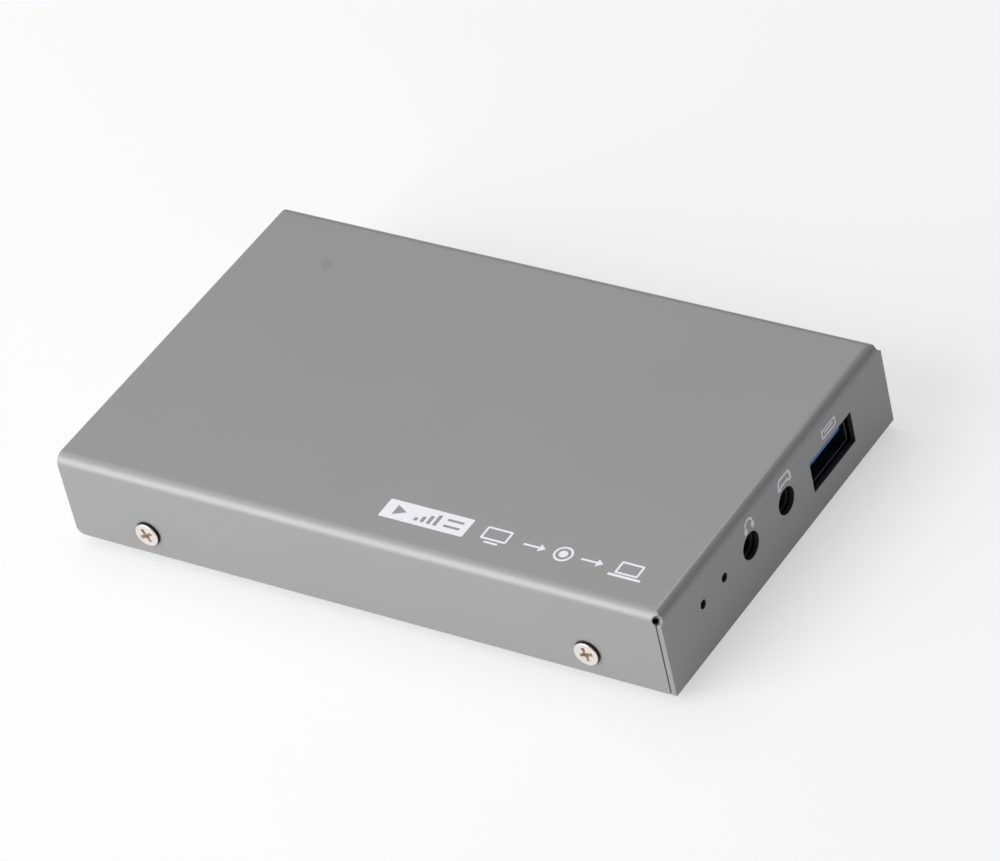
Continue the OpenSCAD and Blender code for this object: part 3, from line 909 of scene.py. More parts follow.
def arc_of(cx: float, cy: float, radius: float, start: float, end: float, steps: int = 16) -> list[Point]:
    """Points along an arc, with its angles in degrees."""
    angles = (math.radians(start + (end - start) * i / steps) for i in range(steps + 1))
    return [(cx + radius * math.cos(a), cy + radius * math.sin(a)) for a in angles]


# Geometry node trees


PIT_SIDES = 16
PIT_WIDTH = 1.05
PIT_DEPTH = 2.2


class GeometryWeb(Web):
    """A geometry node tree with named inputs."""

    def __init__(self, name: str, inputs: Mapping[str, str]) -> None:
        """Makes a tree.

        Args:
            name: The tree's name.
            inputs: The type of each input socket, by its name.
        """
        super().__init__(bpy.data.node_groups.new(name, "GeometryNodeTree"))
        face = self.tree.interface
        face.new_socket("Geometry", in_out="INPUT", socket_type="NodeSocketGeometry")
        for key, kind in inputs.items():
            face.new_socket(key, in_out="INPUT", socket_type=kind)
        face.new_socket("Geometry", in_out="OUTPUT", socket_type="NodeSocketGeometry")
        self.inputs = self.add("NodeGroupInput").outputs

    def number(self, name: str) -> Value:
        """A named input as a value."""
        return Value(self, self.inputs[name])

    def finish(self, shape: NodeSocket) -> None:
        """Ends the tree in real meshes that carry the material input.

        Args:
            shape: The shape to end in.
        """
        real = self.add("GeometryNodeRealizeInstances", None, {0: shape})
        coated = self.add("GeometryNodeSetMaterial", None,
                          {"Geometry": real.outputs[0], "Material": self.inputs["Material"]})
        self.add("NodeGroupOutput", None, {0: coated.outputs[0]})

    def apply(self, piece: Object, **values: Any) -> Object:
        """Runs the tree on a piece.

        Args:
            piece: The piece whose mesh goes in.
            values: The inputs, with underscores for the spaces in their names.

        Returns:
            The resulting plain piece.
        """
        modifier = piece.modifiers.new(self.tree.name, "NODES")
        modifier.node_group = self.tree
        sockets = {i.name: i.identifier for i in self.tree.interface.items_tree if i.in_out == "INPUT"}
        for key, value in values.items():
            modifier[sockets[key.replace("_", " ")]] = value
        return settled(piece)


def grid_tree() -> GeometryWeb:
    """A tree that sets copies of a piece on a grid in X and Y, tilted out of the two sides.

    Returns:
        The tree.
    """
    web = GeometryWeb("set_on_grid", {
        "Count X": "NodeSocketInt", "Count Y": "NodeSocketInt", "Span X": "NodeSocketFloat",
        "Span Y": "NodeSocketFloat", "Centre": "NodeSocketVector", "Tilt": "NodeSocketFloat",
        "First Turn": "NodeSocketFloat", "Turn Step": "NodeSocketFloat", "Material": "NodeSocketMaterial"})
    grid = web.add("GeometryNodeMeshGrid", None, {
        "Size X": web.number("Span X"), "Size Y": web.number("Span Y"),
        "Vertices X": web.number("Count X"), "Vertices Y": web.number("Count Y")})
    moved = web.add("GeometryNodeSetPosition", None, {
        "Geometry": grid.outputs[0], "Offset": web.inputs["Centre"]})
    _, y, _ = web.axes(web.add("GeometryNodeInputPosition").outputs[0])
    side = y.above(0.0) * 2.0 - 1.0
    tilt = web.vector(side * web.number("Tilt") * -1.0, 0.0, 0.0)
    copies = web.add("GeometryNodeInstanceOnPoints", None, {
        "Points": moved.outputs[0], "Instance": web.inputs["Geometry"], "Rotation": tilt})
    index = Value(web, web.add("GeometryNodeInputIndex").outputs[0])
    turn = web.vector(0.0, 0.0, web.number("First Turn") + index * web.number("Turn Step"))
    spun = web.add("GeometryNodeRotateInstances", None, {"Instances": copies.outputs[0], "Rotation": turn})
    web.finish(spun.outputs[0])
    return web


def recess_tree() -> GeometryWeb:
    """A tree that sinks a tapered cross recess into a screw's head.

    Returns:
        The tree.
    """
    web = GeometryWeb("cross_recess", {
        "Length": "NodeSocketFloat", "Width": "NodeSocketFloat", "Depth": "NodeSocketFloat",
        "Top": "NodeSocketFloat", "Taper": "NodeSocketFloat", "Material": "NodeSocketMaterial"})
    depth = web.number("Depth")
    size = web.vector(web.number("Length"), web.number("Width"), depth * 2.0)
    wing = web.add("GeometryNodeMeshCube", None, {"Size": size})
    place = web.add("GeometryNodeInputPosition").outputs[0]
    x, y, z = web.axes(place)
    narrow = 1.0 + z / depth * web.number("Taper")
    formed = web.add("GeometryNodeSetPosition", None, {
        "Geometry": wing.outputs[0], "Position": web.vector(x * narrow, y * narrow, z + web.number("Top"))})
    cross = web.add("GeometryNodeTransform", None, {
        "Geometry": formed.outputs[0], "Rotation": (0.0, 0.0, math.pi / 2)})
    pit = web.add("GeometryNodeMeshCone", None, {
        "Vertices": PIT_SIDES, "Radius Top": web.number("Width") * PIT_WIDTH, "Radius Bottom": 0.0,
        "Depth": depth * PIT_DEPTH})
    sunk = web.add("GeometryNodeTransform", None, {
        "Geometry": pit.outputs["Mesh"],
        "Translation": web.vector(0.0, 0.0, web.number("Top") - depth * (PIT_DEPTH / 2))})
    cut = web.add("GeometryNodeMeshBoolean", {"operation": "DIFFERENCE", "solver": "EXACT"}, {
        "Mesh 1": web.inputs["Geometry"],
        "Mesh 2": [formed.outputs[0], cross.outputs[0], sunk.outputs[0]]})
    web.finish(cut.outputs[0])
    return web


# Sub-assemblies


@dataclass
class Workshop:
    """What every sub-assembly shares: the materials and the geometry trees."""

    palette: Palette = field(default_factory=Palette)
    grid: GeometryWeb = field(default_factory=grid_tree)
    recess: GeometryWeb = field(default_factory=recess_tree)

    def mount(self, piece: Object, slot: Slot, *nodes: str, coat: Material | None = None) -> Object:
        """Finishes a piece that stands for CAD nodes.

        Args:
            piece: The piece, in place.
            slot: The slot that it belongs to.
            nodes: The CAD nodes that it stands for.
            coat: A material to show in place of the slot's own.

        Returns:
            The piece.
        """
        painted(piece, coat or self.palette[slot])
        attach(piece, BODY)
        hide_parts(*nodes)
        LOG.info("%s stands for %s, %d faces", piece.name, ", ".join(nodes), len(piece.data.polygons))
        return piece

    def soften(self, nodes: Iterable[str], edge: float, coat: Material | None = None) -> None:
        """Replaces each node by a copy with fine rounded edges.

        Args:
            nodes: The CAD nodes.
            edge: The width of the rounding, in metres.
            coat: A material to show in place of the slot's own.
        """
        for node in nodes:
            self.mount(softened(copied(node), edge), SLOT_OF[node], node, coat=coat)


@dataclass
class FoldedCase:
    """The painted cover, folded from one sheet, and the tray under it."""

    shop: Workshop
    half_l: float = 60 * MM
    half_w: float = 36.25 * MM
    low: float = 1.5 * MM
    high: float = 18.5 * MM
    sheet: float = 1 * MM
    bend: float = 2 * MM
    bend_steps: int = 12
    edge: float = 0.1 * MM
    skirt_corner: float = 1.5 * MM
    seam: float = 0.2 * MM
    seam_drop: float = 2 * MM
    relief_r: float = 1.05 * MM
    relief_core: float = 0.45 * MM
    relief_funnel: float = 1.3 * MM
    relief_reach: float = 2.8 * MM
    relief_at: Point = (0.75 * MM, 1.15 * MM)
    usb_at: Point = (17.55 * MM, 9.4 * MM)
    usb_size: Point = (13.9 * MM, 6.2 * MM)
    jacks: tuple[Point, ...] = ((-9.15 * MM, 11.1 * MM), (2.55 * MM, 11.1 * MM))
    jack_r: float = 2.45 * MM
    lamps: tuple[Point, ...] = ((-24.6 * MM, 11.4 * MM), (-17.75 * MM, 11.4 * MM))
    lamp_r: float = 0.8 * MM
    screw_at: Point = (43.9 * MM, 6 * MM)
    screw_hole: float = 1.35 * MM
    seat_r: float = 2 * MM
    dimple: tuple[float, float, float] = (2.35 * MM, 3.3 * MM, 0.2 * MM)
    over: float = 0.5 * MM

    def arch(self, middle: float, half: float, low: float, inset: float) -> Loop:
        """The sheet's outline over both folds, inset from its faces.

        Args:
            middle: The middle of the arch.
            half: Half its width, before the inset.
            low: Where it ends below.
            inset: How far it lies inside the faces.

        Returns:
            The outline.
        """
        reach, top, radius = half - inset, self.high - inset, self.bend - inset
        right = arc_of(middle + reach - radius, top - radius, radius, 0, 90, self.bend_steps)
        left = arc_of(middle - reach + radius, top - radius, radius, 90, 180, self.bend_steps)
        return [(middle + reach, low), *right, *left, (middle - reach, low)]

    def form(self, name: str, inset: float, spare: float) -> Object:
        """The cover's closed form.

        Args:
            name: The piece's name.
            inset: How far it lies inside the cover's faces.
            spare: How far it goes on past the open sides.

        Returns:
            The form.
        """
        low = self.low - spare
        across = self.arch(0.0, self.half_w, low, inset)
        along = self.arch(-self.half_l, 2 * self.half_l, low, inset)
        form = prism(name, across, False, -self.half_l - spare, 2 * self.half_l)
        end = prism(f"{name}_end", along, True, -2 * self.half_w, 2 * self.half_w)
        return combined(form, "INTERSECT", end)

    def bored(self, name: str, place: Point, radius: float) -> Object:
        """The solid of a round hole through the right end.

        Args:
            name: Its name.
            place: Y and Z of its middle.
            radius: Its radius.

        Returns:
            The solid.
        """
        depth = self.sheet + self.over
        solid = turned(name, [(0, -depth), (radius, -depth), (radius, depth), (0, depth)])
        return placed(solid, Matrix.Translation((self.half_l, *place)) @ Matrix.Rotation(math.pi / 2, 4, "Y"))

    def relief(self, side: int) -> list[Object]:
        """The funnel that relieves one folded corner, and the seam below it.

        Args:
            side: 1 for the back corner, -1 for the front.

        Returns:
            The two solids to cut away.
        """
        core, reach, deep = self.relief_core, self.relief_reach, self.relief_funnel
        rise = (self.relief_r - core) / deep * self.over
        funnel = turned("relief", [(0, -reach), (core, -reach), (core, -deep),
                                   (self.relief_r + rise, self.over), (0, self.over)])
        inset, drop = self.relief_at
        lean = Matrix.Rotation(math.pi / 4, 4, "Z") @ Matrix.Rotation(math.atan(math.sqrt(2)), 4, "Y")
        across = Matrix.Scale(side, 4, (0, 1, 0))
        funnel = placed(funnel, across @ Matrix.Translation(
            (self.half_l - inset, self.half_w, self.high - drop)) @ lean)
        inner, top = self.half_l - self.sheet, self.high - self.seam_drop
        seam = [(inner - self.seam, self.low - self.over), (inner, self.low - self.over), (inner, top),
                (inner - self.seam, top)]
        ends = sorted(side * y for y in (self.half_w - self.sheet - self.over, self.half_w + self.over))
        return [funnel, prism("seam", seam, True, *ends)]

    def skirt(self) -> Object:
        """What rounds the two lower corners at the open end.

        Returns:
            The solid to cut away.
        """
        left, low, radius = -self.half_l, self.low, self.skirt_corner
        curve = arc_of(left + radius, low + radius, radius, 270, 180, self.bend_steps)
        loop = [(left - self.over, low - self.over), (left + radius, low - self.over), *curve,
                (left - self.over, low + radius)]
        return prism("skirt", loop, True, -2 * self.half_w, 2 * self.half_w)

    def socket(self) -> Object:
        """The solid of the USB opening.

        Returns:
            The solid.
        """
        (y, z), (width, height) = self.usb_at, self.usb_size
        left, right, low, high = y - width / 2, y + width / 2, z - height / 2, z + height / 2
        loop = [(left, low), (right, low), (right, high), (left, high)]
        inner = self.half_l - self.sheet
        return prism("usb_opening", loop, False, inner - self.over, self.half_l + self.over)

    def seats(self) -> list[Object]:
        """The solids of the four screw holes, each with its countersink and dimple.

        Returns:
            The solids.
        """
        inner, outer, depth = self.dimple
        flare = (outer - inner) / depth * self.over
        hole, seat, tip = self.screw_hole, self.seat_r, -self.sheet - self.over
        profile = [(0, tip), (hole, tip), (hole, hole - seat - depth), (seat, -depth), (inner, -depth),
                   (outer + flare, self.over), (0, self.over)]
        x, z = self.screw_at
        return [placed(turned("screw_seat", profile), Matrix.Translation((sx * x, sy * self.half_w, z))
                       @ Matrix.Rotation(-sy * math.pi / 2, 4, "X")) for sx in (-1, 1) for sy in (-1, 1)]

    def build(self) -> None:
        """Folds the cover, cuts its openings, and gives both sheets the soft edges of thick paint."""
        cover = combined(self.form("top_cover_piece", 0.0, 0.0), "DIFFERENCE",
                         self.form("cover_inside", self.sheet, self.over))
        holes = [self.bored("jack_opening", at, self.jack_r) for at in self.jacks]
        holes += [self.bored("lamp_opening", at, self.lamp_r) for at in self.lamps]
        cover = combined(cover, "DIFFERENCE", *self.relief(1), *self.relief(-1), self.skirt(), self.socket(),
                         *holes, *self.seats())
        self.shop.mount(softened(cover, self.edge), SLOT_OF["top_cover"], "top_cover")
        self.shop.soften(("base_tray",), self.edge)


@dataclass
class CoverScrews:
    """The four flat-head screws in the case's sides."""

    shop: Workshop
    head_r: float = 2.25 * MM
    shank_r: float = 1.2 * MM
    proud: float = 0.55 * MM
    rim: float = 0.35 * MM
    length: float = 4 * MM
    reach_x: float = 43.9 * MM
    reach_y: float = 36.25 * MM
    height: float = 6 * MM
    recess_l: float = 2.8 * MM
    recess_w: float = 0.7 * MM
    recess_depth: float = 0.75 * MM
    recess_taper: float = 0.35
    pitch: float = 0.45 * MM
    thread: float = 0.2 * MM
    thread_gap: float = 0.05 * MM
    head_edge: float = 0.12 * MM
    first_turn: float = math.radians(30)
    turn_step: float = math.radians(38)

    def profile(self) -> list[Point]:
        """The screw's outline, from its tip to the middle of its head.

        Returns:
            Radius and height along it.
        """
        neck = self.proud - self.rim - (self.head_r - self.shank_r)
        crest, root = self.shank_r, self.shank_r - self.thread
        outline: list[Point] = [(0, -self.length), (root, -self.length)]
        turns = int((neck + self.length) / self.pitch)
        for i in range(turns):
            low = -self.length + i * self.pitch
            outline += [(root, low + self.thread_gap), (crest, low + self.pitch / 2),
                        (root, low + self.pitch * 0.95)]
        outline += [(crest, neck), (self.head_r, self.proud - self.rim), (self.head_r, self.proud),
                    (0, self.proud)]
        return rounded(outline, len(outline) - 2, self.head_edge)

    def build(self) -> None:
        """Turns one screw, sinks its recess and sets four of them."""
        nickel = self.shop.palette[Slot.SCREW_NICKEL]
        screw = turned("cover_screw_set", self.profile())
        screw = self.shop.recess.apply(
            screw, Length=self.recess_l, Width=self.recess_w, Depth=self.recess_depth, Top=self.proud,
            Taper=self.recess_taper, Material=nickel)
        screws = self.shop.grid.apply(
            screw, Count_X=2, Count_Y=2, Span_X=2 * self.reach_x, Span_Y=2 * self.reach_y,
            Centre=(0.0, 0.0, self.height), Tilt=math.pi / 2, First_Turn=self.first_turn,
            Turn_Step=self.turn_step, Material=nickel)
        self.shop.mount(weighted(screws), Slot.SCREW_NICKEL, "cover_screws")


@dataclass
class RubberFeet:
    """The four stick-on feet under the tray."""

    shop: Workshop
    radius: float = 4 * MM
    height: float = 1.5 * MM
    reach_x: float = 51.5 * MM
    reach_y: float = 27.75 * MM
    sole_inset: float = 0.6 * MM
    sole_rise: float = 0.7 * MM
    sole_edge: float = 0.35 * MM
    side_edge: float = 0.4 * MM
    top_edge: float = 0.1 * MM

    def build(self) -> None:
        """Turns one domed foot and sets four of them."""
        outline: list[Point] = [(0, 0), (self.radius - self.sole_inset, 0), (self.radius, self.sole_rise),
                                (self.radius, self.height), (0, self.height)]
        outline = rounded(outline, 3, self.top_edge, 3)
        outline = rounded(outline, 2, self.side_edge)
        outline = rounded(outline, 1, self.sole_edge)
        feet = self.shop.grid.apply(
            turned("foot_set", outline), Count_X=2, Count_Y=2, Span_X=2 * self.reach_x,
            Span_Y=2 * self.reach_y, Centre=(0.0, 0.0, 0.0), Tilt=0.0, First_Turn=0.0, Turn_Step=0.0,
            Material=self.shop.palette[Slot.FOOT_RUBBER])
        self.shop.mount(weighted(feet), Slot.FOOT_RUBBER, "rubber_feet")


@dataclass
class Sockets:
    """The USB, HDMI and audio sockets and the lamps behind their openings."""

    shop: Workshop
    shell_edge: float = 0.1 * MM
    plastic_edge: float = 0.12 * MM

    def build(self) -> None:
        """Rounds the shells, dark with a painted shade, and the mouldings that show through the openings."""
        # painted shade: the shells get the dark finish in place of their bright steel
        self.shop.soften(("usb_shell", "hdmi_in_shell", "hdmi_out_shell"), self.shell_edge,
                         coat=self.shop.palette.shaded_shell)
        self.shop.soften(("usb_insulator", "hdmi_in_insulator", "hdmi_out_insulator", "headphone_jack",
                          "chat_jack", "led_housings"), self.plastic_edge)


# Print


def ring_of(cx: float, cy: float, radius: float, steps: int = 40) -> Loop:
    """A circle as a loop of points."""
    return [(cx + radius * math.cos(2 * math.pi * i / steps), cy + radius * math.sin(2 * math.pi * i / steps))
            for i in range(steps)]


def panel(cx: float, cy: float, width: float, height: float, radius: float, steps: int = 6) -> Loop:
    """A rectangle with round corners as a loop of points.

    Args:
        cx: The middle's first coordinate.
        cy: Its second.
        width: The width.
        height: The height.
        radius: The corners' radius.
        steps: The steps round each corner.

    Returns:
        The loop.
    """
    loop: Loop = []
    for quarter, (sx, sy) in enumerate(((1, 1), (-1, 1), (-1, -1), (1, -1))):
        mx, my = cx + sx * (width / 2 - radius), cy + sy * (height / 2 - radius)
        for i in range(steps + 1):
            a = math.pi / 2 * (quarter + i / steps)
            loop.append((mx + radius * math.cos(a), my + radius * math.sin(a)))
    return loop


def frame_of(cx: float, cy: float, width: float, height: float, radius: float, line: float) -> list[Loop]:
    """A rectangular line with round corners as an outer and an inner loop."""
    return [panel(cx, cy, width, height, radius),
            panel(cx, cy, width - 2 * line, height - 2 * line, max(0.02, radius - line))]


def line_along(points: Sequence[Point], width: float, steps: int = 6) -> Loop:
    """The outline of an open line with round ends.

    Args:
        points: The line's points.
        width: Its width.
        steps: The steps round each end.

    Returns:
        The closed outline.
    """
    path = [Vector(p) for p in points]
    half = width / 2
    sides: list[list[Vector]] = [[], []]
    for i, at in enumerate(path):
        first = max(i - 1, 0)
        ways = [(b - a).normalized() for a, b in zip(path[first:i + 1], path[first + 1:i + 2])]
        way = sum(ways, Vector((0, 0))).normalized()
        normal = Vector((-way.y, way.x)) * half / max(0.5, way.dot(ways[0]))
        sides[0].append(at + normal)
        sides[1].append(at - normal)
    loop = list(sides[0])
    for end, back in ((path[-1], path[-2]), (path[0], path[1])):
        out = (end - back).normalized()
        start = Vector((-out.y, out.x)) * half
        cap = [start @ Matrix.Rotation(math.pi * k / steps, 2) for k in range(1, steps)]
        loop += [end + c for c in cap]
        if end is path[-1]:
            loop += list(reversed(sides[1]))
    return [tuple(p) for p in loop]


def grown(points: Sequence[Point], step: float) -> Loop:
    """A closed loop with each side moved outward.

    Args:
        points: The loop, counter-clockwise.
        step: The distance, less than 0 to move inward.

    Returns:
        The new loop.
    """
    path = [Vector(p) for p in points]
    loop: Loop = []
    for before, at, after in zip(path[-1:] + path[:-1], path, path[1:] + path[:1]):
        one, two = (at - before).normalized(), (after - at).normalized()
        out = Vector((one.y + two.y, -one.x - two.x)).normalized()
        loop.append(tuple(at + out * step / max(0.5, out.dot(Vector((one.y, -one.x))))))
    return loop


@dataclass
class Print:
    """The white print: a block with signs on the top, and a sign above the USB opening and each jack."""

    shop: Workshop
    film: float = 0.02 * MM
    top_z: float = 18.5 * MM
    end_x: float = 60 * MM
    line: float = 0.4
    merge: float = 0.001 * MM
    block_at: Point = (10.55, -28.15)
    block_size: Point = (16.5, 4.4)
    signs_y: float = -28.3
    screen_x: float = 24.2
    arrows_x: Point = (31.6, 42.6)
    record_x: float = 37.2
    computer_x: float = 49.6
    phones_at: Point = (-8.75, 15.2)
    controller_at: Point = (2.9, 15.2)
    socket_at: Point = (17.6, 14.55)

    def lay(self, name: str, face: Face, loops: Iterable[Loop]) -> None:
        """Prints closed loops on a face of the case.

        Args:
            name: The piece's name.
            face: The face that carries it.
            loops: The loops, in millimetres in the face's own plane; a loop in a loop is a hole.
        """
        curve = bpy.data.curves.new(name, "CURVE")
        curve.dimensions = "2D"
        curve.fill_mode = "BOTH"
        curve.extrude = self.film / MM
        for loop in loops:
            spline = curve.splines.new("POLY")
            spline.points.add(len(loop) - 1)
            for point, (x, y) in zip(spline.points, loop):
                point.co = (x, y, 0, 1)
            spline.use_cyclic_u = True
        piece = bpy.data.objects.new(name, curve)
        bpy.context.scene.collection.objects.link(piece)
        piece = settled(piece)
        if face is Face.TOP:
            place = Matrix.Translation((0, 0, self.top_z))
        else:
            place = Matrix(((0, 0, 1, self.end_x), (1, 0, 0, 0), (0, 1, 0, 0), (0, 0, 0, 1)))
        piece.data.transform(place @ Matrix.Scale(MM, 4))
        work = bmesh.new()
        work.from_mesh(piece.data)
        bmesh.ops.remove_doubles(work, verts=work.verts, dist=self.merge)
        bmesh.ops.recalc_face_normals(work, faces=work.faces)
        work.to_mesh(piece.data)
        work.free()
        painted(piece, self.shop.palette.ink)
        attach(piece, BODY)
        LOG.info("%s printed, %d faces", name, len(piece.data.polygons))

    def block(self) -> list[Loop]:
        """The block on the top, with a play mark and rising bars left open in it.

        Returns:
            The loops.
        """
        x, mid = self.block_at
        loops = [panel(x, mid, *self.block_size, 0.25)]
        loops.append([(4.4, mid - 1.2), (6.7, mid), (4.4, mid + 1.2)])
        for i, tall in enumerate((0.8, 1.4, 2.0, 2.6)):
            loops.append(panel(9.0 + 1.25 * i, mid - 1.3 + tall / 2, 0.7, tall, 0.1))
        loops += [panel(15.9, mid + 0.75, 3.2, 0.55, 0.2), panel(15.9, mid - 0.75, 3.2, 0.55, 0.2)]
        return loops

    def signs(self) -> list[Loop]:
        """The signs beside the block: a screen, a record mark and a computer, joined by arrows.

        Returns:
            The loops.
        """
        mid, line = self.signs_y, self.line
        loops = frame_of(self.screen_x, mid + 0.35, 5.0, 3.0, 0.35, line)
        loops.append(panel(self.screen_x, mid - 1.75, 2.6, line, 0.1))
        for x in self.arrows_x:
            loops.append([(x - 2.0, mid - line / 2), (x + 1.0, mid - line / 2), (x + 1.0, mid - 0.9),
                          (x + 2.2, mid), (x + 1.0, mid + 0.9), (x + 1.0, mid + line / 2),
                          (x - 2.0, mid + line / 2)])
        loops += [ring_of(self.record_x, mid, radius) for radius in (1.75, 1.75 - line, 0.8)]
        loops += frame_of(self.computer_x, mid + 0.35, 4.4, 2.9, 0.3, line)
        loops.append(panel(self.computer_x, mid - 1.6, 6.2, 0.5, 0.2))
        return loops

    def headphones(self) -> list[Loop]:
        """A headband with two cups, above the headphone jack.

        Returns:
            The loops.
        """
        (cx, cy), radius = self.phones_at, 1.1
        return [line_along(arc_of(cx, cy, radius, 13, 167), 0.42),
                *(panel(cx + side * radius, cy - 0.68, 0.88, 1.24, 0.34) for side in (-1, 1))]

    def controller(self) -> list[Loop]:
        """A controller's outline, above the chat jack.

        Returns:
            The loops.
        """
        cx, cy = self.controller_at
        half = [(0.95, -0.5), (1.55, -0.95), (1.9, -0.85), (1.8, 0.2), (1.4, 0.9)]
        path = [(cx + x, cy + y) for x, y in half] + [(cx - x, cy + y) for x, y in reversed(half)]
        return [grown(path, 0.25), grown(path, -0.22)]

    def socket_sign(self) -> list[Loop]:
        """A socket's outline with its tongue, above the USB opening."""
        cx, cy = self.socket_at
        return [*frame_of(cx, cy, 4.6, 1.85, 0.25, 0.36), panel(cx, cy + 0.1, 2.8, 0.4, 0.06)]

    def build(self) -> None:
        """Prints every sign."""
        self.lay("top_block_print", Face.TOP, self.block())
        self.lay("top_sign_print", Face.TOP, self.signs())
        self.lay("headphone_print", Face.RIGHT_END, self.headphones())
        self.lay("chat_print", Face.RIGHT_END, self.controller())
        self.lay("usb_print", Face.RIGHT_END, self.socket_sign())


# Studio


def aimed(name: str, data: bpy.types.ID, place: Spot, aim: Spot, roll: float = 0.0) -> Object:
    """Puts a lamp or a camera into the scene, turned to a point.

    Args:
        name: Its name.
        data: The lamp or the camera.
        place: Where it stands.
        aim: The point that it faces.
        roll: Its turn about the line to that point.

    Returns:
        What was put there.
    """
    holder = bpy.data.objects.new(name, data)
    way = Vector(aim) - Vector(place)
    holder.location = place
    holder.rotation_mode = "QUATERNION"
    holder.rotation_quaternion = Quaternion(way.normalized(), roll) @ way.to_track_quat("-Z", "Y")
    bpy.context.scene.collection.objects.link(holder)
    return holder


@dataclass(frozen=True)
class Softbox:
    """A square area lamp that faces a point."""

    name: str
    place: Spot
    aim: Spot
    size: float
    power: float
    colour: Colour = (1.0, 1.0, 1.0)

    def hang(self) -> None:
        """Adds the lamp."""
        lamp = bpy.data.lights.new(self.name, "AREA")
        lamp.size, lamp.energy, lamp.color = self.size, self.power, self.colour
        aimed(self.name, lamp, self.place, self.aim)


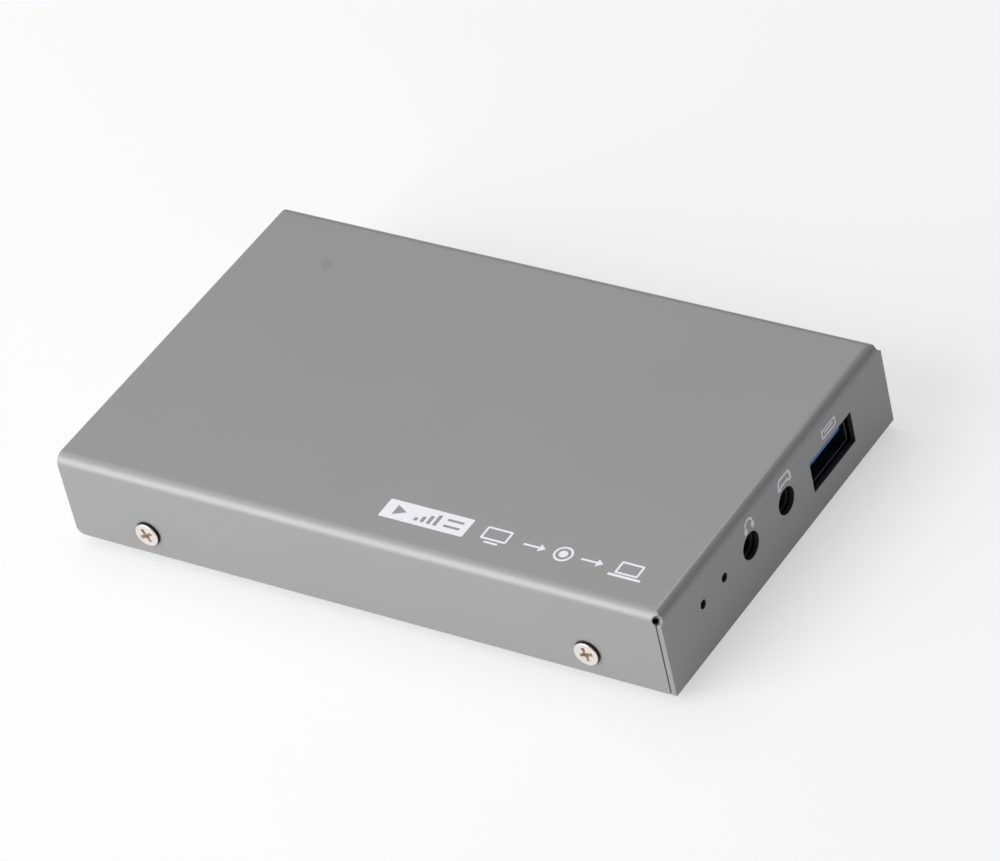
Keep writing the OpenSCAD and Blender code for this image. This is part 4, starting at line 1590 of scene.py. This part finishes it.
@dataclass
class Studio:
    """The camera, the lamps, the floor and the world."""

    eye: Spot = (481.30 * MM, -557.48 * MM, 587.82 * MM)
    aim: Spot = (3.430 * MM, 3.326 * MM, 10 * MM)
    roll: float = math.radians(13.734)
    lens: float = 200.78
    sensor: float = 36.0
    clip: Point = (0.01, 50.0)
    floor_half: float = 6.0
    floor_z: float = -0.05 * MM
    floor_grain: float = 0.4
    floor_dark: Colour = (0.88, 0.88, 0.88)
    floor_pale: Colour = (0.92, 0.92, 0.92)
    wall_r: float = 5.5
    wall_h: float = 0.6
    wall_sides: int = 64
    white_share: float = 0.55
    room_light: float = 0.2
    lamps: tuple[Softbox, ...] = (
        Softbox("front_left_box", (-0.42, -0.79, 0.45), (0, 0, 0.01), 0.95, 12.6),
        Softbox("overhead_box", (-0.34, 0.2, 0.92), (0, 0, 0.01), 1.1, 5.2),
    )

    def camera(self) -> None:
        """Adds the camera at the photograph's place."""
        lens = bpy.data.cameras.new("camera")
        lens.sensor_fit, lens.sensor_width, lens.lens = "HORIZONTAL", self.sensor, self.lens
        lens.clip_start, lens.clip_end = self.clip
        bpy.context.scene.camera = aimed("camera", lens, self.eye, self.aim, self.roll)

    @staticmethod
    def seen(web: Web) -> Value:
        """1 for rays from the camera, from gloss and through glass.

        Args:
            web: The tree that asks.

        Returns:
            The mask.
        """
        path = web.add("ShaderNodeLightPath").outputs
        kinds = ("Camera", "Glossy", "Transmission")
        camera, gloss, glass = (Value(web, path[f"Is {kind} Ray"]) for kind in kinds)
        return camera.either(gloss).either(glass)

    @staticmethod
    def glow(web: Web, strength: float) -> NodeSocket:
        """The white light of a surface that glows."""
        return web.add("ShaderNodeEmission", None, {"Color": WHITE, "Strength": strength}).outputs[0]

    @staticmethod
    def mixed(web: Web, share: Any, one: NodeSocket, other: NodeSocket) -> NodeSocket:
        """One surface that goes over into another with its share."""
        return web.add("ShaderNodeMixShader", None, {0: share, 1: one, 2: other}).outputs[0]

    def floor(self) -> None:
        """Adds a plain pale floor that keeps the object's shadow and is clear from below."""
        web = ShaderWeb("studio_floor")
        grain = web.noise(self.floor_grain, 2.0)
        pale = web.add("ShaderNodeBsdfDiffuse", None, {
            "Color": web.blend(grain, self.floor_dark, self.floor_pale)})
        shown = self.mixed(web, self.seen(web) * self.white_share, pale.outputs[0], self.glow(web, 1.0))
        clear = web.add("ShaderNodeBsdfTransparent").outputs[0]
        under = web.add("ShaderNodeNewGeometry").outputs["Backfacing"]
        web.add("ShaderNodeOutputMaterial", None, {"Surface": self.mixed(web, under, shown, clear)})
        mesh = bpy.data.meshes.new("floor")
        half, z = self.floor_half, self.floor_z
        corners = [(-half, -half, z), (half, -half, z), (half, half, z), (-half, half, z)]
        mesh.from_pydata(corners, [], [(0, 1, 2, 3)])
        mesh.materials.append(web.material)
        linked("floor", mesh)

    def backdrop(self) -> None:
        """Adds a low round wall that shows white and lights as softly as the room."""
        web = ShaderWeb("studio_backdrop")
        wall = self.mixed(web, self.seen(web), self.glow(web, self.room_light), self.glow(web, 1.0))
        web.add("ShaderNodeOutputMaterial", None, {"Surface": wall})
        rim = ring_of(0.0, 0.0, self.wall_r, self.wall_sides)
        verts = [(x, y, z) for z in (self.floor_z, self.floor_z + self.wall_h) for x, y in rim]
        sides = self.wall_sides
        faces = [(i, (i + 1) % sides, sides + (i + 1) % sides, sides + i) for i in range(sides)]
        mesh = bpy.data.meshes.new("backdrop")
        mesh.from_pydata(verts, [], faces)
        mesh.materials.append(web.material)
        linked("backdrop", mesh)

    def room(self) -> None:
        """Adds the even light of a pale room."""
        world = bpy.data.worlds.new("room")
        world.use_nodes = True
        bpy.context.scene.world = world
        web = Web(world.node_tree)
        web.tree.nodes.clear()
        sky = web.add("ShaderNodeBackground", None, {"Color": WHITE, "Strength": self.room_light})
        web.add("ShaderNodeOutputWorld", None, {"Surface": sky.outputs[0]})

    def build(self) -> None:
        """Sets up the whole studio."""
        self.camera()
        self.room()
        self.floor()
        self.backdrop()
        for lamp in self.lamps:
            lamp.hang()
        bpy.context.scene.view_settings.view_transform = "Standard"


def dress_rest(shop: Workshop) -> None:
    """Gives every CAD node that still shows its finish.

    Args:
        shop: What holds the materials.
    """
    for name, node in frame["nodes"].items():
        if node.hide_render:
            continue
        painted(node, shop.palette[SLOT_OF[name]])
        LOG.info("%s keeps its own shape", name)


def main() -> None:
    """Builds the studio and every sub-assembly in order."""
    logging.basicConfig(level=logging.INFO, format="%(name)s: %(message)s")
    Studio().build()
    shop = Workshop()
    for assembly in (FoldedCase(shop), CoverScrews(shop), RubberFeet(shop), Sockets(shop), Print(shop)):
        assembly.build()
    dress_rest(shop)


if __name__ == "__main__":
    main()
